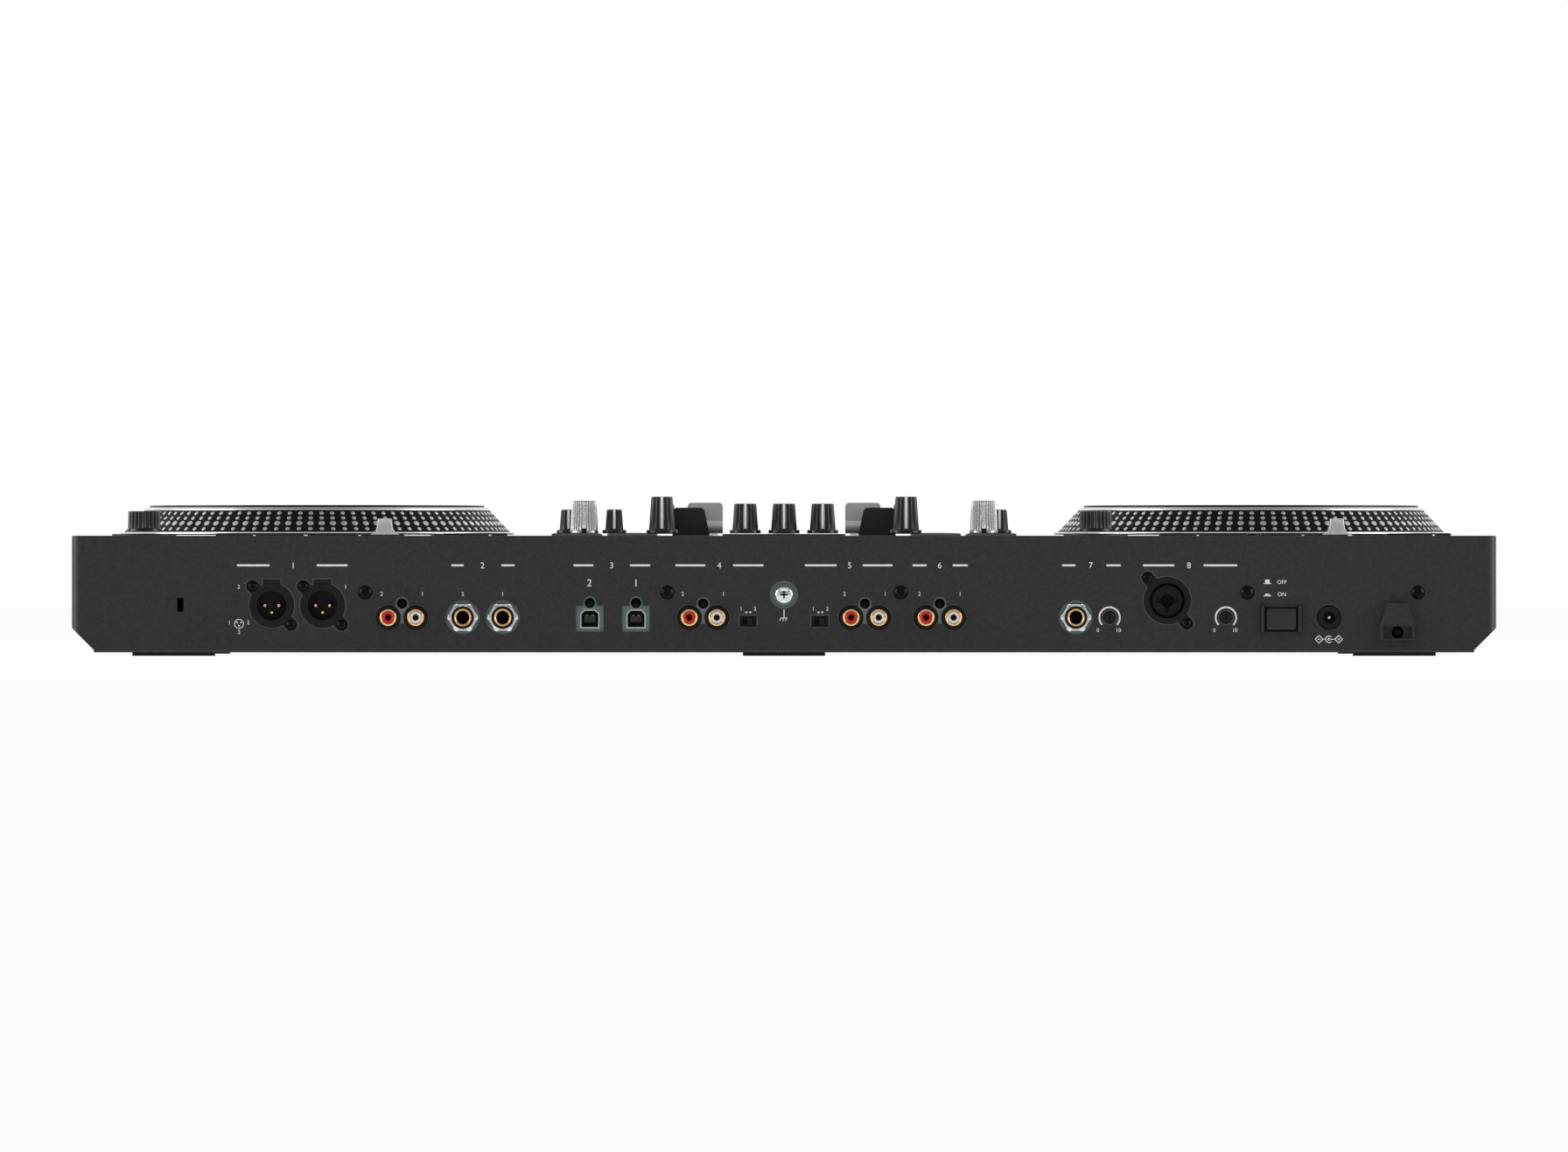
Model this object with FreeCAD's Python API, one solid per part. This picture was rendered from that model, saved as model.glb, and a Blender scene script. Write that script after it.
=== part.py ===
"""A two-deck DJ mixer: two motor-driven platters, one on each side of a two-channel mixer with pads.

Frame: +X to the user's right, +Y to the rear, +Z up, in millimetres. The origin is at the middle of the
footprint, on the surface that the feet stand on. The rear wall, with its sockets, faces +Y.
"""
import FreeCAD
import Part
import math
import os

Vector = FreeCAD.Vector
X_AXIS = Vector(1, 0, 0)
Y_AXIS = Vector(0, 1, 0)
Z_AXIS = Vector(0, 0, 1)
SIDES = {"left": -1, "right": 1}

# Clearances between pieces
SEAT_GAP = 0.05       # pieces of one body that are pushed together
RUN_GAP = 0.08        # a shaft in its bearing
FREE_GAP = 0.6        # moving pieces beside fixed ones
REVEAL = 0.8          # the rear wall's cut-outs round the sockets

# Case walls
WALL = 2.5
REAR_WALL = 3.0
PLATE_THICKNESS = 1.2
FOOT_HEIGHT = 1.8
CASE_HEIGHT = 60.2
SIDE_CHAMFER = 11.5
CORNER_RADIUS = 5.0
EDGE_RADIUS = 0.9
REAR_RETURN = 14.0    # how far the rear panel's rim turns forward
REAR_REACH = 7.0      # how far the cord hook stands out from the rear wall
BRACKET_THICKNESS = 1.0
BOARD_THICKNESS = 1.6
POT_DEPTH = 12.0      # height of the potentiometers under the top
POT_SIZE = 10.5
POT_FLOOR = 2.0

# Platters and their drive
FLANGE_DIAMETER = 206.0
FLANGE_HEIGHT = 1.3
FLANGE_GAP = 0.8
CONE_BASE_DIAMETER = 201.9
CONE_TOP_DIAMETER = 180.7
CONE_HEIGHT = 11.1
RIM_TOP_DIAMETER = 178.0
RIM_HEIGHT = 1.7
PLATTER_SHELL = 4.0
HUB_DIAMETER = 34.0
DISC_DIAMETER = 175.1
DISC_THICKNESS = 1.3
SPINDLE_DIAMETER = 10.0
SPINDLE_TIP_DIAMETER = 7.2
ROTOR_DIAMETER = 78.0
ROTOR_HEIGHT = 9.0
STATOR_DIAMETER = 92.0
STATOR_HEIGHT = 30.0
STATOR_FLANGE_DIAMETER = 118.0
STATOR_FLANGE = 2.5
STATOR_FLOOR = 3.0
ROTOR_CLEARANCE = 1.0
SPINDLE_SHOULDER = 2.0  # from the platter's top down to the shoulder it sits on

# Plan of the top
FRONT_STRIP = 84.5
REAR_STRIP = 67.5
PLATTER_INNER_MARGIN = 16.6
PLATTER_OUTER_MARGIN = 20.15
MIXER_MARGIN = 2.5
PAD_INNER_X = 66.8
PAD_SIZE = 26.0
PAD_GAP = 3.2
PAD_ROWS = 4
PAD_COLUMNS = 2
PAD_HEIGHT = 1.9
PAD_TRAVEL = 1.0
PAD_RADIUS = 1.5
PAD_SHEET = 1.5
SHEET_GAP = 0.3       # between a sheet of keys and the top's underside
PAD_SHEET_MARGIN = 2.5
PAD_FRONT = 38.0      # from the front wall to the nearest row of pads

# Levels and places that follow from the sizes above
FLANGE_RADIUS = FLANGE_DIAMETER / 2
PAD_OUTER_X = PAD_INNER_X + PAD_COLUMNS * PAD_SIZE + (PAD_COLUMNS - 1) * PAD_GAP
MIXER_HALF = PAD_OUTER_X + MIXER_MARGIN
DECK_X = MIXER_HALF + PLATTER_INNER_MARGIN + FLANGE_RADIUS
CASE_HALF = DECK_X + FLANGE_RADIUS + PLATTER_OUTER_MARGIN
CASE_DEPTH = FRONT_STRIP + FLANGE_DIAMETER + REAR_STRIP
REAR_Y = (CASE_DEPTH - REAR_REACH) / 2
FRONT_Y = REAR_Y - CASE_DEPTH
PLATTER_Y = REAR_Y - REAR_STRIP - FLANGE_RADIUS
SEAM_Y = REAR_Y - REAR_RETURN
CASE_BASE = FOOT_HEIGHT + PLATE_THICKNESS
CASE_TOP = FOOT_HEIGHT + CASE_HEIGHT
UNDERSIDE = CASE_TOP - WALL
BOARD_TOP = UNDERSIDE - POT_DEPTH
PANEL_BACK = REAR_Y - REAR_WALL
BRACKET_BACK = PANEL_BACK - BRACKET_THICKNESS
FLANGE_BASE = CASE_TOP + FLANGE_GAP
CONE_BASE = FLANGE_BASE + FLANGE_HEIGHT
RIM_BASE = CONE_BASE + CONE_HEIGHT
PLATTER_TOP = RIM_BASE + RIM_HEIGHT

# Knobs: top, base and skirt diameters, height above the top
KNOB_GAP = 1.2
KNOB_SKIRT = 1.9
KNOB_RIB_DEPTH = 0.1  # share of the radius
KNOB_ROOF = 3.0       # material over the end of the shaft
SHAFT_DIAMETER = 6.0
KNOB_SIZES = {
    "tall": (11.3, 13.6, 16.2, 20.2),
    "mid": (11.7, 13.6, 16.2, 16.6),
    "small": (7.8, 9.3, 12.4, 13.6),
    "encoder": (13.0, 14.2, 14.8, 18.1),
    "deck": (16.6, 17.1, 17.3, 12.7),
}
KNOB_RIBS = {"tall": 14, "mid": 14, "small": 12, "encoder": 16, "deck": 18}

# Knob columns, measured from the middle, and rows, measured forward from the rear wall
TRIO_X = 20.0
GAIN_X = 63.1
ENCODER_X = 103.3
SMALL_X = 111.6
HEADPHONE_X = 87.7
REAR_ROW = 34.0
SMALL_ROW = 62.0
TREBLE_ROW = 132.0
BASS_ROW = 158.0
DECK_KNOB_X = {"left": 83.1, "right": 86.5}   # from the platter's middle
DECK_KNOB_ROW = 32.0

# Faders: cap profile, stem, slot and track
CAP_TOP = 7.3
CAP_WAIST = 8.6
CAP_BASE = 14.2
CAP_HEIGHT = 8.3
CAP_FLARE = 4.0       # height over which the cap's sides sweep out
CAP_GAP = 0.5
CAP_LENGTH = 20.0
STEM_WIDTH = 4.0
STEM_THICKNESS = 1.2
TRACK_WIDTH = 10.0
TRACK_END = 7.0       # track beyond each end of the slot
TEMPO_X = {"left": -41.2, "right": -38.1}   # from the platter's middle
TEMPO_ROW = 18.0
TEMPO_TRAVEL = 60.0
CHANNEL_X = 44.5
CHANNEL_ROW = 196.0
CHANNEL_TRAVEL = 45.0
CROSSFADER_ROW = 306.0
CROSSFADER_TRAVEL = 45.0

# Effect levers: a paddle on a pin, held by a pedestal on the side of the rear wall
LEVER_X = 41.0
LEVER_ROW = 110.0
LEVER_WIDTH = 18.3
LEVER_HEIGHT = 16.0
LEVER_GAP = 1.3
LEVER_THICKNESS = 3.2
LEVER_RADIUS = 2.0
LEVER_BOSS = 7.0
LEVER_PIN = 4.0
LEVER_PIN_RISE = 4.8  # pin above the top
LEVER_SWING = 16.0
PEDESTAL_X = 48.3
PEDESTAL_WIDTH = 19.4
PEDESTAL_DEPTH = 12.0
PEDESTAL_HEIGHT = 14.7
PEDESTAL_RADIUS = 2.5
PEDESTAL_SETBACK = 6.5   # from the pin to the pedestal's near face
PEDESTAL_SLOPE = 3.0     # how far the inner side leans away from the lever's middle
PEDESTAL_EAR = 6.0

# Raised mouldings on the top
BEZEL_HEIGHT = 0.9
BEZEL_HALF = 31.8
BEZEL_DEPTH = 26.0
DECK_BEZEL_DIAMETER = 33.3

# Deck keys: left and right edges from the platter's middle, in one moulded strip
KEY_SPANS = ((-101.0, -92.6), (-91.4, -67.3), (-47.7, -25.1), (-23.9, -2.2), (4.3, 29.4), (30.6, 50.0))
KEY_ROW = 46.0
KEY_DEPTH = 8.0
KEY_HEIGHT = 1.4
KEY_TRAVEL = 0.6
KEY_BAR = 1.6
KEY_BAR_MARGIN = 1.5
START_WIDTH = 30.0
START_DEPTH = 20.0
START_X = -72.0       # from the platter's middle
START_FRONT = 18.0    # from the front wall to the key's edge
START_HEIGHT = 1.6
START_TRAVEL = 0.8
START_RADIUS = 2.0

# Feet: length, width, and how far in from the side chamfers and the end walls
FOOT_LENGTH = 42.5
FOOT_WIDTH = 16.0
FOOT_INSET = 19.5
FOOT_END_INSET = 10.0

# Rear wall: X from the case's middle, or from the middle of the deck on that side; Z above the surface
SOCKET_Z = 19.8
LOCK_X = DECK_X + 67.1
LOCK_Z = 26.3
LOCK_WIDTH = 3.2
LOCK_HEIGHT = 7.2
CASE_SCREW_Z = 32.7
CASE_SCREW_X = (DECK_X - 28.2, 60.2, -60.2, -DECK_X + 5.3, -DECK_X - 82.7)
CASE_SCREW_HEAD = 7.3
CASE_SCREW_LENGTH = 9.0
SMALL_SCREW_HEAD = 5.3
SMALL_SCREW_LENGTH = 6.0
SCREW_CROSS = 0.8     # width of the driver's cross

# Three-pin outputs and the combined microphone input
XLR_X = (DECK_X + 20.0, DECK_X - 6.2)
XLR_Z = 26.0
XLR_FLANGE_DIAMETER = 23.0
XLR_FLANGE = 2.2
XLR_CUP_DIAMETER = 15.2
XLR_CUP_DEPTH = 13.0
XLR_BODY_DIAMETER = 19.0
XLR_BODY_LENGTH = 19.0
XLR_PIN_CIRCLE = 7.4
XLR_PIN_DIAMETER = 2.4
XLR_PIN_LENGTH = 9.5
XLR_TAB_WIDTH = 8.8
XLR_TAB_HEIGHT = 13.3
XLR_EAR = (9.9, 9.9)  # screw ears, across and up from the middle
EAR_DIAMETER = 6.4
COMBO_X = -DECK_X + 46.5
COMBO_Z = 28.5
COMBO_FLANGE_DIAMETER = 24.2
COMBO_EAR = (10.1, 11.8)
COMBO_FACE_DIAMETER = 15.4
COMBO_FACE_DEPTH = 4.0
COMBO_BORE = 6.8
COMBO_HOLE_CIRCLE = 8.6
COMBO_HOLE = 2.9
COMBO_KEYWAY = 2.2    # width of the grooves from the bore to the holes
COMBO_KEYWAY_DEPTH = 1.5
COMBO_HOLE_DEPTH = 4.5

# Phono socket pairs
RCA_X = (DECK_X - 47.2, 41.7, -41.7, -80.3)
RCA_PITCH = 14.2
RCA_COLLAR_DIAMETER = 11.8
RCA_COLLAR = 1.4      # collar in front of the bracket
RCA_SLEEVE_DIAMETER = 8.7
RCA_SLEEVE_BORE = 6.5
RCA_SLEEVE_LENGTH = 7.6
RCA_PIN_BORE = 3.2
RCA_INSERT_SETBACK = 0.7
RCA_BLOCK = (29.0, 13.0, 13.5)
RCA_SCREW_RISE = 7.2

# Jack sockets: two booth outputs and a microphone at the rear, and headphones at the front
TRS_X = (DECK_X - 78.5, DECK_X - 99.1, -DECK_X + 93.6)
TRS_NOSE_DIAMETER = 10.6
TRS_NOSE_PROUD = 1.4
TRS_SLEEVE_DIAMETER = 9.4
TRS_SLEEVE_LENGTH = 3.0
TRS_BORE = 6.6
TRS_BORE_DEPTH = 30.0
TRS_BLOCK = (16.0, 33.0, 15.0)
NUT_ACROSS = 14.3
NUT_THICKNESS = 2.8
NUT_REVEAL = 17.7
NUT_BEVEL = 0.3
PHONES_X = -MIXER_HALF + 30.0

# USB sockets
USB_X = (100.1, 76.3)
USB_Z = 19.1
USB_SHELL = (12.0, 14.0, 11.2)
USB_LIP = 0.6         # sheet round the opening
USB_LIP_PROUD = 0.3   # in front of the bracket
USB_OPENING = (8.75, 8.5)
USB_OPENING_CHAMFER = 1.8
USB_OPENING_DEPTH = 10.0
USB_TONGUE = (5.7, 8.5, 3.3)
USB_REVEAL = (14.3, 13.4)
USB_SCREW_RISE = 8.2

# Power: inlet, switch with its guard ribs, and the cord hook
DC_X = -DECK_X - 36.9
DC_REVEAL = 13.9
DC_BODY_DIAMETER = 10.8
DC_SETBACK = 0.8
DC_BORE = 6.2
DC_BORE_DEPTH = 9.5
DC_BODY_LENGTH = 14.0
DC_PIN_DIAMETER = 2.0
POWER_X = -DECK_X - 12.2
POWER_Z = 19.0
POWER_WIDTH = 15.6
POWER_HEIGHT = 11.0
POWER_PROUD = 3.2
POWER_TRAVEL = 2.2
POWER_BLOCK = (18.0, 14.0, 14.0)
POWER_STEM = 4.0
GUARD_WIDTH = 1.8
GUARD_HEIGHT = 14.2
GUARD_PROUD = 3.6
GUARD_OFFSET = 9.6
HOOK_X = -DECK_X - 72.1
HOOK_BASE_Z = 8.0
HOOK_WIDTH = 17.5
HOOK_TOP_WIDTH = 10.8
HOOK_FOOT = 8.2       # height of the solid foot under the cord's slot
HOOK_SHOULDER = 8.5
HOOK_HEIGHT = 19.2
HOOK_SLOT = 4.6       # room for the cord between hook and wall
HOOK_SCREW_Z = 12.2
HOOK_RECESS = (14.7, 6.5)
HOOK_SCREW_HEAD = 6.2

# Small controls and the earth terminal of the rear wall
GROUND_Z = 31.5
GROUND_REVEAL = 14.6
GROUND_HEAD = 9.6
GROUND_WASHER = 11.6
GROUND_WASHER_THICKNESS = 1.2
GROUND_PROUD = 2.2
GROUND_STUD = 4.0
GROUND_STUD_LENGTH = 8.0
INPUT_SWITCH_X = {"left": -18.5, "right": 18.5}
INPUT_SWITCH_Z = 17.9
INPUT_SWITCH_OPENING = (9.9, 6.5)
INPUT_SWITCH_BLOCK = (8.7, 7.0, 5.6)
INPUT_KNOB = (2.8, 3.7)
INPUT_KNOB_SETBACK = 0.6
INPUT_SLOT_DEPTH = 5.0
INPUT_TRAVEL = 2.0
INPUT_REST_SHIFT = -1.0
TRIMMER_X = {"one": -DECK_X + 16.3, "two": -DECK_X + 76.3}
TRIMMER_DIAMETER = 6.8
TRIMMER_PROUD = 0.8
TRIMMER_SLOT = 0.9
TRIMMER_SHAFT = 3.0
BRACKET_MARGIN = 3.0
BOARD_MARGIN = 4.0
BRACKET_HALF = DECK_X + 52.0


def block(x0, x1, y0, y1, z0, z1):
    """A box between two corners."""
    return Part.makeBox(x1 - x0, y1 - y0, z1 - z0, Vector(x0, y0, z0))


def upright(x, y, z0, z1, diameter):
    """A round bar along Z."""
    return Part.makeCylinder(diameter / 2, z1 - z0, Vector(x, y, z0), Z_AXIS)


def bar(x, z, y0, y1, diameter):
    """A round bar along Y."""
    return Part.makeCylinder(diameter / 2, y1 - y0, Vector(x, y0, z), Y_AXIS)


def centred(x, z, y0, y1, width, height):
    """A box along Y whose section is centred on x, z."""
    return block(x - width / 2, x + width / 2, y0, y1, z - height / 2, z + height / 2)


def prism(points, along):
    """A flat outline carried along a vector."""
    wire = Part.makePolygon(list(points) + [points[0]])
    return Part.Face(wire).extrude(along)


def turned(profile, x, y):
    """A profile of (radius, z) points turned about the upright axis at x, y."""
    points = [Vector(x + radius, y, z) for radius, z in profile]
    face = Part.Face(Part.makePolygon(points + [points[0]]))
    return face.revolve(Vector(x, y, 0), Z_AXIS, 360)


def fused(shapes):
    """One solid from shapes that touch or cross."""
    whole = shapes[0].fuse(shapes[1:]) if len(shapes) > 1 else shapes[0]
    return whole.removeSplitter()


def vertical_edges(shape):
    """The straight upright edges of a shape."""
    found = []
    for edge in shape.Edges:
        low, high = edge.BoundBox.ZMin, edge.BoundBox.ZMax
        if high - low > 1e-6 and abs(edge.Length - (high - low)) < 1e-6:
            found.append(edge)
    return found


def soft_block(x0, x1, y0, y1, z0, z1, radius):
    """A box with rounded upright edges."""
    plain = block(x0, x1, y0, y1, z0, z1)
    limit = 0.45 * min(x1 - x0, y1 - y0)
    return plain.makeFillet(min(radius, limit), vertical_edges(plain))


def tapered(low_points, low_z, high_points, high_z):
    """A solid with flat sides between two outlines that have the same number of points."""
    low = [Vector(px, py, low_z) for px, py in low_points]
    high = [Vector(px, py, high_z) for px, py in high_points]
    count = len(low)
    faces = [Part.Face(Part.makePolygon(ring + [ring[0]])) for ring in (low, high)]
    for i in range(count):
        j = (i + 1) % count
        faces.append(Part.Face(Part.makePolygon([low[i], low[j], high[j], high[i], low[i]])))
    return Part.makeSolid(Part.makeShell(faces))


def ribbed_ring(x, y, radius, ribs):
    """The outline of a grip with flat-topped ribs."""
    pitch = 2 * math.pi / ribs
    corners = ((-0.32, 0), (0.12, 0), (0.22, KNOB_RIB_DEPTH), (0.58, KNOB_RIB_DEPTH))
    points = []
    for rib in range(ribs):
        for share, inset in corners:
            angle = (rib + share) * pitch
            reach = radius * (1 - inset)
            points.append((x + reach * math.cos(angle), y + reach * math.sin(angle)))
    return points


def case_profile(inset, y):
    """The case's section across X and Z at y, drawn in from the outer faces by inset."""
    half = CASE_HALF - inset
    sole = CASE_HALF - SIDE_CHAMFER - inset * math.sqrt(2)
    shoulder = CASE_BASE + SIDE_CHAMFER + inset * (math.sqrt(2) - 1)
    top = CASE_TOP - inset
    corners = ((sole, CASE_BASE), (half, shoulder), (half, top))
    return ([Vector(px, y, pz) for px, pz in corners]
            + [Vector(-px, y, pz) for px, pz in reversed(corners)])


def case_length(inset, y0, y1):
    """A length of the case's section."""
    return prism(case_profile(inset, y0), Vector(0, y1 - y0, 0))


def rounded_case(y0, y1, end_y):
    """A length of the case with its end at end_y rounded: the upright corners, then the edges of the top."""
    plain = case_length(0, y0, y1)
    middle = (CASE_BASE + SIDE_CHAMFER + CASE_TOP) / 2
    corners = [edge for edge in vertical_edges(plain)
               if abs(edge.CenterOfMass.y - end_y) < 1e-6 and abs(edge.CenterOfMass.z - middle) < 1e-6]
    rounded = plain.makeFillet(CORNER_RADIUS, corners)
    seam_y = y0 if end_y == y1 else y1
    rim = [edge for edge in rounded.Edges
           if edge.BoundBox.ZMin > CASE_TOP - 1e-6 and abs(edge.CenterOfMass.y - seam_y) > 1e-6]
    return rounded.makeFillet(min(EDGE_RADIUS, 0.9 * WALL), rim)


def knob_places():
    """Each knob's name with its size and its place on the top."""
    rear = REAR_Y - REAR_ROW
    places = {"effect_knob_middle": ("mid", 0, rear), "headphone_knob": ("small", HEADPHONE_X, rear)}
    for side, sign in SIDES.items():
        places["effect_knob_" + side] = ("mid", sign * TRIO_X, rear)
        places["gain_knob_" + side] = ("tall", sign * GAIN_X, rear)
        places["browse_knob_" + side] = ("encoder", sign * ENCODER_X, rear)
        places["cue_knob_" + side] = ("small", sign * SMALL_X, REAR_Y - SMALL_ROW)
        places["treble_knob_" + side] = ("mid", sign * GAIN_X, REAR_Y - TREBLE_ROW)
        places["bass_knob_" + side] = ("mid", sign * GAIN_X, REAR_Y - BASS_ROW)
        deck_x = sign * DECK_X + DECK_KNOB_X[side]
        places["stop_time_knob_" + side] = ("deck", deck_x, REAR_Y - DECK_KNOB_ROW)
    return places


def fader_places():
    """Each fader's name with its place, its travel and whether it slides along X."""
    places = {"crossfader": (0, REAR_Y - CROSSFADER_ROW, CROSSFADER_TRAVEL, True)}
    for side, sign in SIDES.items():
        places["channel_fader_" + side] = (sign * CHANNEL_X, REAR_Y - CHANNEL_ROW, CHANNEL_TRAVEL, False)
        tempo_x = sign * DECK_X + TEMPO_X[side]
        places["tempo_fader_" + side] = (tempo_x, REAR_Y - TEMPO_ROW, TEMPO_TRAVEL, True)
    return places


def pad_squares(sign):
    """The X and Y spans of one bank's pads."""
    step = PAD_SIZE + PAD_GAP
    spans = []
    for row in range(PAD_ROWS):
        y0 = FRONT_Y + PAD_FRONT + row * step
        for column in range(PAD_COLUMNS):
            near = PAD_INNER_X + column * step
            x0 = near if sign > 0 else -near - PAD_SIZE
            spans.append((x0, x0 + PAD_SIZE, y0, y0 + PAD_SIZE))
    return spans


def key_spans(sign):
    """The X and Y spans of one deck's row of keys."""
    y0 = REAR_Y - KEY_ROW - KEY_DEPTH / 2
    return [(sign * DECK_X + a, sign * DECK_X + b, y0, y0 + KEY_DEPTH) for a, b in KEY_SPANS]


def start_span(sign):
    """The X and Y span of one deck's start key."""
    x0 = sign * DECK_X + START_X - START_WIDTH / 2
    y0 = FRONT_Y + START_FRONT
    return (x0, x0 + START_WIDTH, y0, y0 + START_DEPTH)


def window(span, radius):
    """A cut through the top round a key, with room for it to move."""
    x0, x1, y0, y1 = span
    gap = FREE_GAP
    return soft_block(x0 - gap, x1 + gap, y0 - gap, y1 + gap, UNDERSIDE - 1, CASE_TOP + 1, radius + gap)


def fader_slot(x, y, travel, along_x, z0, z1):
    """The slot that a fader's stem slides in."""
    length = travel + STEM_WIDTH + 2 * FREE_GAP
    width = STEM_THICKNESS + 2 * FREE_GAP
    half_x, half_y = (length / 2, width / 2) if along_x else (width / 2, length / 2)
    return block(x - half_x, x + half_x, y - half_y, y + half_y, z0, z1)


def top_cuts():
    """Every cut in the top: shafts, slots, pads and keys."""
    cuts = []
    below, above = UNDERSIDE - 1, CASE_TOP + BEZEL_HEIGHT + 1
    for size, x, y in knob_places().values():
        cuts.append(upright(x, y, below, above, SHAFT_DIAMETER + 2 * FREE_GAP))
    for x, y, travel, along_x in fader_places().values():
        cuts.append(fader_slot(x, y, travel, along_x, below, above))
    for sign in SIDES.values():
        cuts.append(upright(sign * DECK_X, PLATTER_Y, below, above, SPINDLE_DIAMETER + 2 * FREE_GAP))
        cuts += [window(span, PAD_RADIUS) for span in pad_squares(sign)]
        cuts += [window(span, PAD_RADIUS) for span in key_spans(sign)]
        cuts.append(window(start_span(sign), START_RADIUS))
    return cuts


def upper_case():
    """Top, sides and front in one moulding, open at the bottom and at the rear."""
    shell = rounded_case(FRONT_Y, SEAM_Y, FRONT_Y).cut(case_length(WALL, FRONT_Y + WALL, SEAM_Y))
    row_y = REAR_Y - REAR_ROW
    raised = [soft_block(-BEZEL_HALF, BEZEL_HALF, row_y - BEZEL_DEPTH / 2, row_y + BEZEL_DEPTH / 2,
                         CASE_TOP, CASE_TOP + BEZEL_HEIGHT, PAD_RADIUS)]
    for side, sign in SIDES.items():
        raised.append(upright(sign * DECK_X + DECK_KNOB_X[side], REAR_Y - DECK_KNOB_ROW, CASE_TOP,
                              CASE_TOP + BEZEL_HEIGHT, DECK_BEZEL_DIAMETER))
    phones_hole = bar(PHONES_X, SOCKET_Z, FRONT_Y - 1, FRONT_Y + WALL + 1, TRS_NOSE_DIAMETER + 2 * SEAT_GAP)
    return shell.fuse(raised).cut(top_cuts() + [phones_hole])


def bottom_plate():
    """The sheet that closes the bottom; the walls and the feet meet it."""
    half = CASE_HALF - SIDE_CHAMFER
    return block(-half, half, FRONT_Y, REAR_Y, FOOT_HEIGHT, CASE_BASE)


def rubber_feet():
    """Feet at the four corners and two in the middle."""
    outer = CASE_HALF - SIDE_CHAMFER - FOOT_INSET - FOOT_LENGTH / 2
    rows = (FRONT_Y + FOOT_END_INSET, REAR_Y - FOOT_END_INSET - FOOT_WIDTH)
    feet = []
    for x in (-outer, 0, outer):
        for y in rows:
            feet.append(soft_block(x - FOOT_LENGTH / 2, x + FOOT_LENGTH / 2, y, y + FOOT_WIDTH,
                                   0, FOOT_HEIGHT, PAD_RADIUS))
    return Part.makeCompound(feet)


def eared(x, z, y0, y1, diameter, ear, grow):
    """A round flange with two screw ears on a slant, all larger by grow."""
    width = EAR_DIAMETER + 2 * grow
    parts = [bar(x, z, y0, y1, diameter + 2 * grow)]
    parts += [bar(ex, ez, y0, y1, width) for ex, ez in ear_places(x, z, ear)]
    reach = math.hypot(*ear)
    neck = block(x - reach, x + reach, y0, y1, z - width / 2, z + width / 2)
    neck.rotate(Vector(x, y0, z), Y_AXIS, -math.degrees(math.atan2(ear[1], ear[0])))
    return fused(parts + [neck])


def xlr_flange(x, y0, y1, grow):
    """The flange of a three-pin socket, with the latch tab over it."""
    tab = block(x - XLR_TAB_WIDTH / 2 - grow, x + XLR_TAB_WIDTH / 2 + grow, y0, y1,
                XLR_Z, XLR_Z + XLR_TAB_HEIGHT + grow)
    return fused([eared(x, XLR_Z, y0, y1, XLR_FLANGE_DIAMETER, XLR_EAR, grow), tab])


def twin_outline(x, y0, y1, grow):
    """The cut-out round a pair of phono sockets: two circles, the bridge and the screw's lobe."""
    circles = [bar(cx, SOCKET_Z, y0, y1, RCA_COLLAR_DIAMETER + 2 * grow) for cx in phono_centres(x)]
    lobe = SMALL_SCREW_HEAD + 2 * grow
    bridge = block(x - lobe / 2, x + lobe / 2, y0, y1, SOCKET_Z - lobe / 2, SOCKET_Z + RCA_SCREW_RISE)
    return fused(circles + [bridge, bar(x, SOCKET_Z + RCA_SCREW_RISE, y0, y1, lobe)])


def usb_outline(x, y0, y1):
    """The cut-out round a USB socket, with a lobe for its screw."""
    lobe = SMALL_SCREW_HEAD + 2 * REVEAL
    neck = block(x - lobe / 2, x + lobe / 2, y0, y1, USB_Z, USB_Z + USB_SCREW_RISE)
    return fused([centred(x, USB_Z, y0, y1, *USB_REVEAL), neck,
                  bar(x, USB_Z + USB_SCREW_RISE, y0, y1, lobe)])


def rear_cuts():
    """Every cut-out in the rear wall."""
    y0, y1 = PANEL_BACK - 1, REAR_Y + 1
    cuts = [centred(LOCK_X, LOCK_Z, y0, y1, LOCK_WIDTH, LOCK_HEIGHT)]
    cuts += [xlr_flange(x, y0, y1, REVEAL) for x in XLR_X]
    cuts.append(eared(COMBO_X, COMBO_Z, y0, y1, COMBO_FLANGE_DIAMETER, COMBO_EAR, REVEAL))
    cuts += [twin_outline(x, y0, y1, REVEAL) for x in RCA_X]
    cuts += [bar(x, SOCKET_Z, y0, y1, NUT_REVEAL) for x in TRS_X]
    cuts += [usb_outline(x, y0, y1) for x in USB_X]
    cuts.append(bar(DC_X, SOCKET_Z, y0, y1, DC_REVEAL))
    cuts.append(bar(0, GROUND_Z, y0, y1, GROUND_REVEAL))
    cuts += [centred(x, INPUT_SWITCH_Z, y0, y1, *INPUT_SWITCH_OPENING) for x in INPUT_SWITCH_X.values()]
    cuts += [bar(x, SOCKET_Z, y0, y1, TRIMMER_DIAMETER + 2 * FREE_GAP) for x in TRIMMER_X.values()]
    cuts.append(centred(POWER_X, POWER_Z, y0, y1, POWER_WIDTH + 2 * FREE_GAP, POWER_HEIGHT + 2 * FREE_GAP))
    cuts += [bar(x, CASE_SCREW_Z, y0, y1, screw_shank(CASE_SCREW_HEAD)) for x in CASE_SCREW_X]
    cuts.append(bar(HOOK_X, HOOK_SCREW_Z, y0, y1, screw_shank(HOOK_SCREW_HEAD)))
    return cuts


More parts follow.
